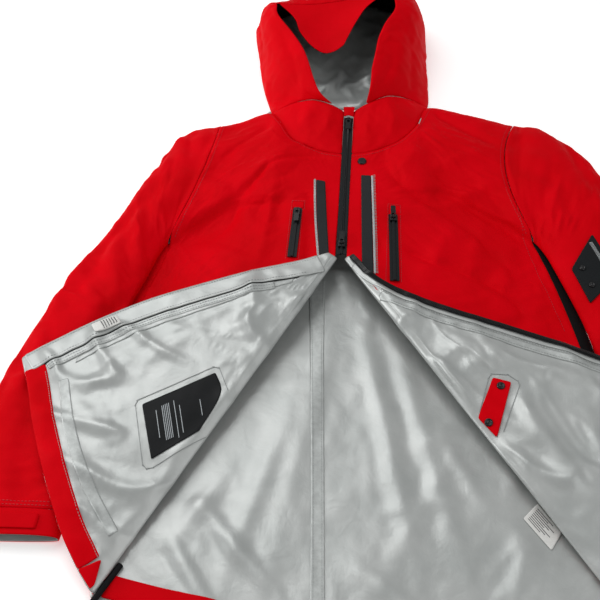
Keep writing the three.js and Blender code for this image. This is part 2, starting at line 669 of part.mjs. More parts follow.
strip("left_hem_facing", leftFlap, inward(lh, 1, "left", 0.1, 1, 12), inward(lh, hemBand, "left", 0.1, 1, 12),
  red, 14, 2, { lift: clothThickness / 2 + seat + slack });
strip("left_lower_zip_tape", leftFlap, inward(lz, 1, "left", 0.12, 0.985, 12),
  inward(lz, 13, "left", 0.12, 0.985, 12), silver, 32, 2, { lift: weltLift });
strip("left_lower_zip_coil", leftFlap, inward(lz, 1.2, "left", 0.13, 0.98, 12),
  inward(lz, 7, "left", 0.13, 0.98, 12), black, 32, 1, { lift: weltLift + trimThickness + seat, thickness: coilThickness });
strip("inner_tab", leftFlap, graded([[195, -246], [176, -300]]), graded([[217, -252], [197, -326]]), red, 4, 2);
disc("inner_snap_upper", leftFlap, 204, -258, 4.6, 1.6, black, second);
disc("inner_snap_lower", leftFlap, 188, -307, 4.6, 1.6, black, second);

// ---- back trims
strip("back_hem_facing", backSurface, backOutline.hem.slice(1, 6).map((q) => [q[0], q[1] + 3]),
  backOutline.hem.slice(1, 6).map((q) => [q[0], q[1] + 3 + hemBand]), red, 12, 2,
  { lift: clothThickness / 2 + seat });
strip("back_seam_tape", backSurface, graded([[-20, -70], [-15, -200], [-4, -400], [4, -545]]),
  graded([[-42, -70], [-33, -200], [-20, -400], [-12, -545]]), silver, 10, 2,
  { thickness: labelThickness, lift: clothThickness / 2 + seat });
strip("care_label", backSurface, graded([[225, -417], [254, -455]]), graded([[244, -396], [268, -432]]), white, 3, 3,
  { thickness: labelThickness, lift: clothThickness / 2 + seat });

function cord(name, points, radius, color, segments = 16) {
  const circle = new THREE.Shape();
  circle.absarc(0, 0, radius, 0, Math.PI * 2, false);
  const g = new THREE.ExtrudeGeometry(circle, { steps: segments, extrudePath: curve(points), curveSegments: 6 });
  add(name, g, color, 0.8);
}
cord("hem_cord", [1.02, 0.99, 0.96, 0.92].map((t) => {
  const p = foldPoint("right", t, -7, 0);
  return [p[0], p[1], clothThickness + seat + cordRadius];
}), cordRadius, black, 8);

// ---- sleeve details
function sleevePatch(name, section, t0, t1, a0, a1, color, nu, nv, thickness, lift) {
  const box = new THREE.BoxGeometry(1, 1, 1, nu, nv, 1);
  const p = box.attributes.position;
  for (let i = 0; i < p.count; i += 1) {
    const t = t0 + (t1 - t0) * (Math.round((p.getX(i) + 0.5) * nu) / nu);
    const a = a0 + (a1 - a0) * (Math.round((p.getY(i) + 0.5) * nv) / nv);
    const dt = section(t + 0.01, a, 0).sub(section(t - 0.01, a, 0));
    const da = section(t, a + 0.05, 0).sub(section(t, a - 0.05, 0));
    const n = dt.cross(da).normalize();
    if (n.z < 0) n.negate();
    const s = section(t, a, 0).addScaledVector(n, lift + (Math.sign(p.getZ(i)) + 1) * thickness / 2);
    p.setXYZ(i, s.x, s.y, s.z);
  }
  return add(name, box, color, 0.5);
}
sleevePatch("sleeve_badge", leftSleeve, 0.35, 0.475, 1.62, 2.45, black, 5, 5, 1.0, seat);
const badgeSpots = { upper: [0.382, 2.2], lower: [0.44, 2.2] };
for (const key of ["upper", "lower"]) {
  const at = leftSleeve(badgeSpots[key][0], badgeSpots[key][1], 0);
  const g = new THREE.CylinderGeometry(3.4, 4, 1.6, 18, 1);
  g.rotateX(Math.PI / 2);
  g.translate(at.x, at.y, at.z + 2.85);
  add(`badge_button_${key}`, g, silver, 0.4);
}
sleevePatch("right_cuff_tab", rightSleeve, 0.945, 0.985, 1.0, 2.1, red, 2, 6, 1.2, 0.5);
sleevePatch("left_cuff_tab", leftSleeve, 0.945, 0.985, 1.0, 2.1, red, 2, 6, 1.2, 0.5);

// ---- where the joints turn
function cuffHinge(section, sign) {
  const p = section(0.965, 1.0, 0);
  const d = section(0.985, 1.0, 0).sub(section(0.945, 1.0, 0)).multiplyScalar(sign);
  return { pos: [p.x, p.y, p.z + 1.1], axis: [d.x, d.y, d.z] };
}
jacket.userData = {
  chestFrames: { right: rightChestFrame.elements.slice(), left: leftChestFrame.elements.slice() },
  folds,
  cuffHinges: { right: cuffHinge(rightSleeve, 1), left: cuffHinge(leftSleeve, -1) },
  brimHinge: { pos: [-124, 446.6, 96], axis: [-178, -33.2, -9.6] },
};
export default jacket;
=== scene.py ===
import math

import bmesh
import bpy
from mathutils import Matrix, Vector, noise
from mathutils.bvhtree import BVHTree
from mathutils.kdtree import KDTree


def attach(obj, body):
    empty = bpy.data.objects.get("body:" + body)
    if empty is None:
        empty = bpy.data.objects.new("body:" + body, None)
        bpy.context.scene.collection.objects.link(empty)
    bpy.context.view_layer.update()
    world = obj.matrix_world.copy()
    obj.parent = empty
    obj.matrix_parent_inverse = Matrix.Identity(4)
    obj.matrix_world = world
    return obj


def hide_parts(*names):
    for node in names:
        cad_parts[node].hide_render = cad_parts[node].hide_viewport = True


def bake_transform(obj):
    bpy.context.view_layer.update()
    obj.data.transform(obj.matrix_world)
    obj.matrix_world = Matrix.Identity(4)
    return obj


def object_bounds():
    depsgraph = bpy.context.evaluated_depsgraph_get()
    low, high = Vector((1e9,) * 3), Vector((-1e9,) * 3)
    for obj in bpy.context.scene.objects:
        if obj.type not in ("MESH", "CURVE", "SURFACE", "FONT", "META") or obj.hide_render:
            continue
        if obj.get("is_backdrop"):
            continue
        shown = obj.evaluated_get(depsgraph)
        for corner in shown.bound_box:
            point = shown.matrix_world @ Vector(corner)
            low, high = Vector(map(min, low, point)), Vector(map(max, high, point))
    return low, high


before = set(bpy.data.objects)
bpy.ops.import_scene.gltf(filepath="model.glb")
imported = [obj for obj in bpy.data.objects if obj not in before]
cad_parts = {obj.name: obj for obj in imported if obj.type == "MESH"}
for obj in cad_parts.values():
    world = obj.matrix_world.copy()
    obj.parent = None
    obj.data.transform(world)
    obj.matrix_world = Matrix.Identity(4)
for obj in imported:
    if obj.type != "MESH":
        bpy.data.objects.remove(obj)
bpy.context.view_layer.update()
scene = bpy.context.scene
mm = 0.001
print("frame loaded,", len(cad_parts), "nodes")

# camera, floor and studio light
studio = {
    "eye": (6.60, -978.34, 1041.82),
    "lookAt": (-52.40, -106.15, 0.0),
    "lens": 60.0,
    "sensor": 36.0,
    "farClip": 20.0,
    "floorHalf": 6.0,
    "floorGlow": 0.42,
    "floorColour": "F7F7F6",
    "skyStrength": 0.27,
    "keyPower": 22.0,
    "fillPower": 12.0,
    "rakePower": 13.0,
}


def aimed(obj, eye, target):
    obj.location = Vector(eye) * mm
    obj.rotation_euler = (Vector(target) - Vector(eye)).to_track_quat("-Z", "Y").to_euler()


def areaLight(name, eye, target, size, power):
    data = bpy.data.lights.new(name, "AREA")
    data.size = size
    data.energy = power
    lamp = bpy.data.objects.new(name, data)
    scene.collection.objects.link(lamp)
    aimed(lamp, eye, target)


camera = bpy.data.objects.new("studioCamera", bpy.data.cameras.new("studioCamera"))
camera.data.lens = studio["lens"]
camera.data.sensor_width = studio["sensor"]
camera.data.clip_end = studio["farClip"]
scene.collection.objects.link(camera)
aimed(camera, studio["eye"], studio["lookAt"])
scene.camera = camera
scene.view_settings.view_transform = "Standard"
scene.view_settings.look = "None"
areaLight("keyLight", (-900, 900, 1900), (0, -100, 0), 1.6, studio["keyPower"])
areaLight("fillLight", (1500, -900, 1500), (0, -100, 0), 2.0, studio["fillPower"])
areaLight("rakeLight", (-1900, -300, 600), (0, -150, 0), 0.8, studio["rakePower"])


# materials
def srgb(hexText):
    values = [int(hexText[i : i + 2], 16) / 255 for i in (0, 2, 4)]
    return [v / 12.92 if v <= 0.04045 else ((v + 0.055) / 1.055) ** 2.4 for v in values] + [1.0]


world = bpy.data.worlds.new("studioSky")
world.use_nodes = True
world.node_tree.nodes["Background"].inputs["Color"].default_value = srgb("FFFFFF")
world.node_tree.nodes["Background"].inputs["Strength"].default_value = studio["skyStrength"]
scene.world = world


def addNode(tree, kind, settings=None, inputs=None, links=None):
    node = tree.nodes.new(kind)
    for key, value in (settings or {}).items():
        setattr(node, key, value)
    for key, value in (inputs or {}).items():
        node.inputs[key].default_value = value
    for key, (source, output) in (links or {}).items():
        tree.links.new(source.outputs[output], node.inputs[key])
    return node


def newMaterial(name, **sockets):
    material = bpy.data.materials.new(name)
    material.use_nodes = True
    tree = material.node_tree
    shader = tree.nodes["Principled BSDF"]
    for key, value in sockets.items():
        shader.inputs[key.replace("_", " ")].default_value = value
    return material, tree, shader


def mottle(tree, shader, place, dark, light, scale, detail=4.0, socket="Base Color"):
    cloud = addNode(tree, "ShaderNodeTexNoise", None, {"Scale": scale, "Detail": detail, "Roughness": 0.6},
                    {"Vector": (place, "Object")})
    ramp = addNode(tree, "ShaderNodeValToRGB", links={"Fac": (cloud, "Fac")})
    ramp.color_ramp.elements[0].position = 0.32
    ramp.color_ramp.elements[0].color = srgb(dark)
    ramp.color_ramp.elements[1].position = 0.68
    ramp.color_ramp.elements[1].color = srgb(light)
    tree.links.new(ramp.outputs["Color"], shader.inputs[socket])
    return cloud


def bumpOver(tree, source, output, strength, distance, under=None):
    links = {"Height": (source, output)}
    if under:
        links["Normal"] = (under, "Normal")
    return addNode(tree, "ShaderNodeBump", None, {"Strength": strength, "Distance": distance}, links)


# Coated nylon shell, a plain weave about 0.4 mm between threads, drawn at 3 mm so that it shows. The
# finish gives broad soft highlights, and the cloth keeps small creases where it was folded away.
def makeShellNylon():
    material, tree, shader = newMaterial("coatedShellNylon", Roughness=0.62)
    shader.inputs["Specular IOR Level"].default_value = 0.03
    place = addNode(tree, "ShaderNodeTexCoord")
    mottle(tree, shader, place, "D2000C", "E20012", 11.0)
    warp = addNode(tree, "ShaderNodeTexWave", {"bands_direction": "X"}, {"Scale": 105.0},
                   {"Vector": (place, "Object")})
    weft = addNode(tree, "ShaderNodeTexWave", {"bands_direction": "Y"}, {"Scale": 105.0},
                   {"Vector": (place, "Object")})
    threads = addNode(tree, "ShaderNodeMath", {"operation": "MAXIMUM"}, None,
                      {0: (warp, "Fac"), 1: (weft, "Fac")})
    creases = addNode(tree, "ShaderNodeTexNoise", None, {"Scale": 26.0, "Detail": 6.0, "Roughness": 0.5},
                      {"Vector": (place, "Object")})
    soft = bumpOver(tree, creases, "Fac", 0.22, 0.006)
    fine = bumpOver(tree, threads, "Value", 0.05, 0.0003, soft)
    tree.links.new(fine.outputs["Normal"], shader.inputs["Normal"])
    return material


# Silver-printed membrane film on the inside: dry, pearly, and set in many small crisp creases.
def makeMembrane():
    material, tree, shader = newMaterial("silverPrintedMembrane", Roughness=0.39, Metallic=0.34)
    shader.inputs["Specular IOR Level"].default_value = 0.4
    place = addNode(tree, "ShaderNodeTexCoord")
    mottle(tree, shader, place, "B8BCBA", "C8CBC9", 16.0)
    folds = addNode(tree, "ShaderNodeTexNoise", None, {"Scale": 34.0, "Detail": 6.0, "Roughness": 0.55,
                    "Distortion": 0.6}, {"Vector": (place, "Object")})
    grains = addNode(tree, "ShaderNodeTexNoise", None, {"Scale": 900.0, "Detail": 2.0},
                     {"Vector": (place, "Object")})
    creases = addNode(tree, "ShaderNodeTexNoise", {"noise_type": "RIDGED_MULTIFRACTAL"},
                      {"Scale": 13.0, "Detail": 2.5,
                      "Roughness": 0.4, "Distortion": 0.9}, {"Vector": (place, "Object")})
    soft = bumpOver(tree, folds, "Fac", 0.14, 0.006)
    sharp = bumpOver(tree, creases, "Fac", 0.35, 0.003, soft)
    fine = bumpOver(tree, grains, "Fac", 0.06, 0.0004, sharp)
    tree.links.new(fine.outputs["Normal"], shader.inputs["Normal"])
    return material


def makeSurface(name, dark, light, roughness, scale, depth, metallic=0.0, specular=0.5):
    material, tree, shader = newMaterial(name, Roughness=roughness, Metallic=metallic)
    if metallic == 0.0:
        shader.inputs["Specular IOR Level"].default_value = specular
    place = addNode(tree, "ShaderNodeTexCoord")
    grain = mottle(tree, shader, place, dark, light, scale)
    relief = bumpOver(tree, grain, "Fac", 0.5, depth * mm)
    tree.links.new(relief.outputs["Normal"], shader.inputs["Normal"])
    return material


shellNylon = makeShellNylon()
membrane = makeMembrane()
seamFilm = makeSurface("weldedSeamTape", "B2B6B4", "C6CAC8", 0.42, 160, 0.3, 0.35)  # pressed flat, brighter
coatedTape = makeSurface("coatedZipTape", "0C0E10", "14171A", 0.5, 420, 0.12, 0.0, 0.25)  # satin film
zincBlack = makeSurface("enamelledZinc", "08090A", "101113", 0.22, 300, 0.03, 0.0, 0.6)  # glossy casting
acetal = makeSurface("mouldedAcetal", "0B0C0D", "131415", 0.3, 400, 0.04)  # smooth moulded plastic
webbing = makeSurface("wovenPolyesterTape", "171A1C", "24282A", 0.7, 800, 0.4, 0.0, 0.3)  # dull woven band
# black lining taffeta for the hood and garage insides; the same material is also laid as painted shade
# beside the left sleeve and as a painted shadow line along the storm flap
facing = makeSurface("blackLiningTaffetaAndPaintedShade", "050506", "0C0D0E", 0.7, 500, 0.2, 0.0, 0.15)  # swallows light
redThread = makeSurface("redSewingThread", "B80018", "CC001C", 0.6, 900, 0.1)
greyThread = makeSurface("greySewingThread", "8E9291", "A2A6A5", 0.6, 900, 0.1)
glassBead = makeSurface("glassBeadPiping", "9DA1A2", "C4C8C9", 0.4, 900, 0.3, 0.2)  # grainy, reflects back
satin = makeSurface("wovenSatinLabel", "E2E2DE", "EEEEEA", 0.4, 600, 0.1)
transfer = makeSurface("blackTransferFilm", "07090B", "0C0F12", 0.5, 300, 0.05, 0.0, 0.2)  # heat-pressed
inkDark = makeSurface("blackLabelInk", "3A3C3E", "484A4C", 0.6, 500, 0.01)
inkPale = makeSurface("paleLabelInk", "AEB4B8", "C6CCD0", 0.5, 500, 0.01)
braid = makeSurface("elasticBraid", "0D0E0F", "191A1C", 0.8, 700, 0.5, 0.0, 0.2)  # matt, knitted cover
badgeFelt = makeSurface("blackBadgeTwill", "121416", "1C1F21", 0.75, 700, 0.4, 0.0, 0.2)
floorPaper = makeSurface("studioPaper", "F5F5F4", studio["floorColour"], 0.9, 3, 0.01, 0.0, 0.1)
print("materials made")

floor = bpy.data.meshes.new("studioFloor")
bm = bmesh.new()
bmesh.ops.create_grid(bm, x_segments=1, y_segments=1, size=studio["floorHalf"])
bm.to_mesh(floor)
bm.free()
paperShader = floorPaper.node_tree.nodes["Principled BSDF"]
paperShader.inputs["Emission Color"].default_value = srgb("FFFFFF")
paperShader.inputs["Emission Strength"].default_value = studio["floorGlow"]
floor.materials.append(floorPaper)
floorObject = bpy.data.objects.new("studioFloor", floor)
scene.collection.objects.link(floorObject)
floorObject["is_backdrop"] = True


# cutting cloth: edge lines in millimetres and panels spanned between them
def edgeLine(points, perSpan=14):
    pts = [Vector((p[0], p[1], p[2] if len(p) > 2 else 0.0)) for p in points]
    run = [pts[0] * 2 - pts[1]] + pts + [pts[-1] * 2 - pts[-2]]
    dense = []
    for k in range(1, len(run) - 2):
        a, b, c, d = run[k - 1 : k + 3]
        ta = max((b - a).length, 1e-6) ** 0.5
        tb = max((c - b).length, 1e-6) ** 0.5
        tc = max((d - c).length, 1e-6) ** 0.5
        m1 = ((b - a) / ta - (c - a) / (ta + tb) + (c - b) / tb) * tb
        m2 = ((c - b) / tb - (d - b) / (tb + tc) + (d - c) / tc) * tb
        for i in range(perSpan):
            t = i / perSpan
            dense.append(b * (2 * t**3 - 3 * t**2 + 1) + m1 * (t**3 - 2 * t**2 + t)
                         + c * (3 * t**2 - 2 * t**3) + m2 * (t**3 - t**2))
    dense.append(pts[-1])
    reach = [0.0]
    for p, q in zip(dense, dense[1:]):
        reach.append(reach[-1] + (q - p).length)
    known = {}

    def at(t):
        key = round(t, 5)
        if key not in known:
            want = min(max(t, 0.0), 1.0) * reach[-1]
            low, high = 0, len(reach) - 1
            while high - low > 1:
                middle = (low + high) // 2
                if reach[middle] <= want:
                    low = middle
                else:
                    high = middle
            part = (want - reach[low]) / max(reach[high] - reach[low], 1e-9)
            known[key] = dense[low].lerp(dense[high], part)
        return known[key]

    def byPoint(t):
        place = min(max(t, 0.0), 1.0) * (len(dense) - 1)
        low = min(int(place), len(dense) - 2)
        return dense[low].lerp(dense[low + 1], place - low)

    at.length = reach[-1]
    at.byPoint = byPoint
    return at


def spanned(bottom, top, left, right, bulge=0.0, direction=(0, 0, 1)):
    b, t, l, r = edgeLine(bottom), edgeLine(top), edgeLine(left), edgeLine(right)
    push = Vector(direction)

    def at(u, v):
        p = b(u) * (1 - v) + t(u) * v + l(v) * (1 - u) + r(v) * u
        p = p - b(0) * ((1 - u) * (1 - v)) - b(1) * (u * (1 - v)) - t(0) * ((1 - u) * v) - t(1) * (u * v)
        return p + push * (bulge * math.sin(math.pi * u) * math.sin(math.pi * v))

    at.size = (max(b.length, t.length), max(l.length, r.length))
    return at


def finished(bm, name, outside, inside=None, up=None, smooth=True):
    if up is not None:
        bm.normal_update()
        facingUp = sum((face.normal * face.calc_area() for face in bm.faces), Vector()).dot(Vector(up))
        if facingUp < 0:
            bmesh.ops.reverse_faces(bm, faces=bm.faces)
    mesh = bpy.data.meshes.new(name)
    bm.to_mesh(mesh)
    bm.free()
    mesh.materials.append(outside)
    if inside:
        mesh.materials.append(inside)
    for polygon in mesh.polygons:
        polygon.use_smooth = smooth
    obj = bpy.data.objects.new(name, mesh)
    scene.collection.objects.link(obj)
    return obj


flatPlaces = {}


def clothGrid(name, surface, pitch, outside, inside, up=(0, 0, 1)):
    across = max(4, round(surface.size[0] / pitch))
    along = max(4, round(surface.size[1] / pitch))
    bm = bmesh.new()
    bmesh.ops.create_grid(bm, x_segments=across, y_segments=along, size=0.5)
    for vert in bm.verts:
        vert.co = surface(vert.co.x + 0.5, vert.co.y + 0.5) * mm
    piece = finished(bm, name, outside, inside, up)
    flatPlaces[name] = [vert.co.copy() for vert in piece.data.vertices]
    return piece


# How far a vertex is, in plan, from the nearest of some lines, in millimetres.
def awayFrom(point, lines):
    plan = Vector((point.x, point.y)) / mm
    nearest = 1e9
    for start, end in lines:
        p, run = Vector(start), Vector(end) - Vector(start)
        t = min(max((plan - p).dot(run) / max(run.length_squared, 1e-9), 0.0), 1.0)
        nearest = min(nearest, (plan - p - run * t).length)
    return nearest


# Where a zip or a label stiffens the cloth, and at the neck seam, a panel keeps the shape it was cut to.
def keepCalm(obj, lines, inner, outer):
    for vert, first in zip(obj.data.vertices, flatPlaces[obj.name]):
        away = awayFrom(first, lines)
        if away < outer:
            vert.co = first.lerp(vert.co, max(0.0, (away - inner) / (outer - inner)))
    obj.data.update()


def outlineVerts(obj):
    count = {}
    for polygon in obj.data.polygons:
        for key in polygon.edge_keys:
            count[key] = count.get(key, 0) + 1
    return {i for key, n in count.items() if n == 1 for i in key}


# Folds laid into a panel: each runs between two plan points with a height and a half width in millimetres.
def layFolds(obj, folds):
    obj.data.update()
    facing = [vert.normal.z for vert in obj.data.vertices]
    for start, end, height, width in folds:
        a, b = Vector(start) * mm, Vector(end) * mm
        run = b - a
        for vert, up in zip(obj.data.vertices, facing):
            if up < 0.05:
                continue
            plan = Vector((vert.co.x, vert.co.y)) - a
            t = min(max(plan.dot(run) / run.length_squared, 0.0), 1.0)
            away = (plan - run * t).length / (width * mm)
            if away < 3:
                vert.co.z += height * mm * math.exp(-away * away) * (0.25 + 0.75 * math.sin(math.pi * t))
    obj.data.update()


# Ridges that meet and part as on crumpled coated cloth. They stay clear of edges and of stiff trims.
ridges = {"stretch": 0.5, "warp": 0.7, "sharp": 3.2, "fineness": 2.3, "fineShare": 0.25, "calmFade": 18}


def crumple(obj, height, span, run=(1, 0), calm=(), clear=30, seed=1.0, fade=16):
    obj.data.update()
    rim = KDTree(len(outlineVerts(obj)))
    for index in outlineVerts(obj):
        rim.insert(obj.data.vertices[index].co, index)
    rim.balance()
    along = Vector((run[0], run[1], 0)).normalized()
    moves = []
    for vert in obj.data.vertices:
        inner = min(1.0, rim.find(vert.co)[2] / (fade * mm)) if vert.normal.z > 0.05 else 0.0
        if calm and inner:
            inner *= min(1.0, max(0.0, awayFrom(vert.co, calm) - clear) / ridges["calmFade"])
        if not inner:
            moves.append(Vector())
            continue
        place = (vert.co - along * (vert.co.dot(along) * ridges["stretch"])) / (span * mm)
        place += Vector((seed, seed * 0.7, 0))
        place += noise.noise_vector(place * 0.8) * ridges["warp"]
        broad = max(0.0, 1 - abs(noise.noise(place)) * ridges["sharp"]) ** 2
        tight = max(0.0, 1 - abs(noise.noise(place * ridges["fineness"])) * ridges["sharp"]) ** 2
        moves.append(vert.normal * ((broad + ridges["fineShare"] * tight) * height * inner * mm))
    for vert, move in zip(obj.data.vertices, moves):
        vert.co += move
    obj.data.update()


# settling: every panel gets a little spare cloth, is held at its seams and sinks onto a form
settling = {
    "frames": 26,
    "friction": 12.0,
    "ruffle": 0.0009,  # first unevenness, in metres, so that spare cloth has somewhere to buckle
    "furthest": 0.014,  # no point strays further than this from its cut, in metres
    "quality": 4,
    "mass": 0.1,
    "air": 1.5,
    "pull": 20,
    "shear": 8,
    "damping": 10,
    "bendDamping": 0.8,
    "gap": 0.001,
}
waiting = []


def letSettle(obj, spare, stiffness, drop=1.6, held=None, seed=1):
    group = obj.vertex_groups.new(name="held")
    group.add(sorted(outlineVerts(obj) if held is None else held), 1.0, "REPLACE")
    form = obj.copy()
    form.data = obj.data.copy()
    form.name = obj.name + "Form"
    scene.collection.objects.link(form)
    normals = [vert.normal.copy() for vert in form.data.vertices]
    for vert, normal in zip(form.data.vertices, normals):
        vert.co -= normal * (drop * mm)
    under = bpy.data.collections.new(obj.name + "Under")
    scene.collection.children.link(under)
    under.objects.link(form)
    form.modifiers.new("hold", "COLLISION")
    form.collision.thickness_outer = settling["gap"]
    form.collision.cloth_friction = settling["friction"]
    shift = Vector((seed * 3.1, seed * 1.7, seed * 2.3))
    fixed = set(outlineVerts(obj) if held is None else held)
    for vert in obj.data.vertices:
        if vert.index not in fixed:
            ruffle = noise.noise(vert.co * 45 + shift) + 0.6 * noise.noise(vert.co * 110 + shift)
            vert.co += vert.normal * (ruffle * settling["ruffle"])
    cloth = obj.modifiers.new("settle", "CLOTH")
    s = cloth.settings
    s.quality = settling["quality"]
    s.mass = settling["mass"]
    s.air_damping = settling["air"]
    s.tension_stiffness = s.compression_stiffness = settling["pull"]
    s.shear_stiffness = settling["shear"]
    s.bending_stiffness = stiffness
    s.tension_damping = s.compression_damping = s.shear_damping = settling["damping"]
    s.bending_damping = settling["bendDamping"]
    s.shrink_min = -spare
    s.vertex_group_mass = "held"
    c = cloth.collision_settings
    c.distance_min = settling["gap"]
    c.collision_quality = 2
    c.collection = under
    waiting.append((obj, form, under))


def settleAll():
    scene.frame_start, scene.frame_end = 1, settling["frames"]
    for obj, form, under in waiting:
        obj.modifiers["settle"].point_cache.frame_end = settling["frames"]
    for step in range(1, settling["frames"] + 1):
        scene.frame_set(step)
    graph = bpy.context.evaluated_depsgraph_get()
    for obj, form, under in waiting:
        places = [vert.co.copy() for vert in obj.evaluated_get(graph).data.vertices]
        start = [vert.co.copy() for vert in obj.data.vertices]
        obj.modifiers.clear()
        furthest = 0.0
        for vert, place, first in zip(obj.data.vertices, places, start):
            move = place - first
            if move.length > settling["furthest"]:
                move = move.normalized() * settling["furthest"]
            furthest = max(furthest, move.length)
            vert.co = first + move
        print("  settled", obj.name, len(places), "points, furthest", round(furthest * 1000, 1), "mm")
        obj.vertex_groups.clear()
        bpy.data.objects.remove(form)
        bpy.data.collections.remove(under)
        obj.data.update()
    waiting.clear()
    scene.frame_set(1)


def wall(obj, thickness, rimInside=True, offset=-1.0, smoothLevels=1):
    if smoothLevels:
        finer = obj.modifiers.new("finer", "SUBSURF")
        finer.levels = finer.render_levels = smoothLevels
    solid = obj.modifiers.new("wall", "SOLIDIFY")
    solid.thickness = thickness * mm
    solid.offset = offset
    solid.material_offset = 1 if len(obj.data.materials) > 1 else 0
    solid.material_offset_rim = 1 if rimInside and len(obj.data.materials) > 1 else 0
    return obj


def placed(obj, body, slotName, *nodes):
    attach(obj, body)
    if nodes:
        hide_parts(*nodes)
    return obj


# sizes shared with the solid model
sizes = {
    "cloth": 1.6,
    "seat": 0.3,
    "slack": 0.1,
    "zipTape": 7.0,
    "zipLevel": 34.0,
    "hemBand": 27.0,
    "stormFlap": 28.0,
    "cord": 3.6,
    "sleeveHeight": 26.0,
}
zipEdge = sizes["zipTape"] + 0.4
seamLevel = sizes["cloth"] * 1.5 + sizes["seat"] + sizes["slack"]
level = sizes["zipLevel"]

# sleeves
sleeve = {
    "pitch": 7.5,
    "wall": 0.8,
    "spare": 0.022,
    "stiffness": 0.6,
    "dip": {"right": 10.0, "left": -30.0},
    "right": {
        "outer": [(-200, 236), (-252, 214), (-290, 115), (-323, 20), (-352, -50), (-378, -120), (-408, -221),
                  (-421, -300), (-422, -390), (-414, -440), (-406, -487)],
        "inner": [(-246, -20), (-250, -30), (-256, -52), (-264, -88), (-275, -128), (-285, -180),
                  (-290, -245), (-291, -315), (-290, -388), (-293, -436), (-298, -482)],
        "folds": [((-262, 150), (-262, -20), 5, 12), ((-300, 60), (-276, -80), 6, 9),
                  ((-330, 0), (-290, -150), 6, 11), ((-352, -90), (-300, -190), 5, 10),
                  ((-345, -20), (-385, -180), 5, 12), ((-250, 60), (-262, -50), -6, 8),
                  ((-372, -170), (-395, -330), 4, 11), ((-405, -260), (-352, -330), 4, 9),
                  ((-400, -350), (-340, -400), 3, 8)],
    },
    "left": {
        "outer": [(262, 268), (302, 258), (350, 213), (382, 148), (415, 72), (443, -5), (466, -90),
                  (478, -180), (480, -280), (474, -385), (460, -475)],
        "inner": [(272, 20), (277, 10), (287, -14), (298, -46), (311, -86), (324, -130), (335, -185),
                  (343, -250), (348, -325), (351, -405), (352, -480)],
        "folds": [((262, 196), (318, 128), 6, 9), ((318, 128), (296, 84), 6, 7),
                  ((262, 120), (306, 96), 5, 6), ((300, 84), (290, 30), 7, 7), ((290, 40), (330, 46), 7, 6),
                  ((338, 40), (300, -20), -7, 10), ((328, 46), (372, -60), 7, 9),
                  ((372, -60), (352, -130), 5, 9), ((296, 60), (284, 20), -6, 7),
                  ((345, 140), (400, 20), 4, 12), ((420, -40), (438, -200), 4, 12),
                  ((360, -150), (420, -210), 5, 9)],
    },
}


def sleevePoint(side, t, angle, inward=0.0):
    lines = sleeveLines[side]
    o, i = lines[0].byPoint(t), lines[1].byPoint(t)
    half = (o - i) * 0.5
    height = sizes["sleeveHeight"] + 3 * math.sin(math.pi * min(1, t * 2.2)) - 6 * t
    edge = height * (0.12 + 0.24 * min(1, t * 5))
    c, s = math.cos(angle), math.sin(angle)
    p = (o + i) * 0.5 + half * (c * (half.length - inward) / half.length)
    p.x += sleeve["dip"][side] * max(0, 1 - t * 6) * (1 - c * c)
    base = sizes["cloth"] / 2 + edge
    p.z = base + (height - edge - inward) * s**0.72 if s >= 0 else base - (edge - inward) * (-s) ** 0.55
    return p


sleeveLines = {side: [edgeLine(sleeve[side][key]) for key in ("outer", "inner")]
               for side in ("right", "left")}


def sleeveTube(name, side, start, end, pitch):
    lines = sleeveLines[side]
    around, along = round(300 / pitch), max(3, round(lines[0].length * (end - start) / pitch))
    bm = bmesh.new()
    bmesh.ops.create_grid(bm, x_segments=around, y_segments=along, size=0.5)
    for vert in bm.verts:
        angle = (vert.co.x + 0.5) * 2 * math.pi
        vert.co = sleevePoint(side, start + (end - start) * (vert.co.y + 0.5), angle, 0.1) * mm
    bmesh.ops.remove_doubles(bm, verts=bm.verts, dist=0.00002)
    bmesh.ops.recalc_face_normals(bm, faces=bm.faces)
    highest = max(bm.faces, key=lambda face: face.calc_center_median().z)
    if highest.normal.z < 0:
        bmesh.ops.reverse_faces(bm, faces=bm.faces)
    piece = finished(bm, name, shellNylon, membrane)
    flatPlaces[name] = [vert.co.copy() for vert in piece.data.vertices]
    return piece


sleeves = {}
cuffs = {}
for side in ("right", "left"):
    arm = sleeveTube(side + "SleeveShell", side, 0.0004, 0.93, sleeve["pitch"])
    layFolds(arm, sleeve[side]["folds"])
    low = {vert.index for vert in arm.data.vertices if vert.normal.z < 0.1}
    letSettle(arm, sleeve["spare"], sleeve["stiffness"], 1.4, low | outlineVerts(arm),
              3 if side == "right" else 5)
    sleeves[side] = arm
    cuffs[side] = sleeveTube(side + "CuffBand", side, 0.9306, 1.0, 5.0)
print("sleeves cut")

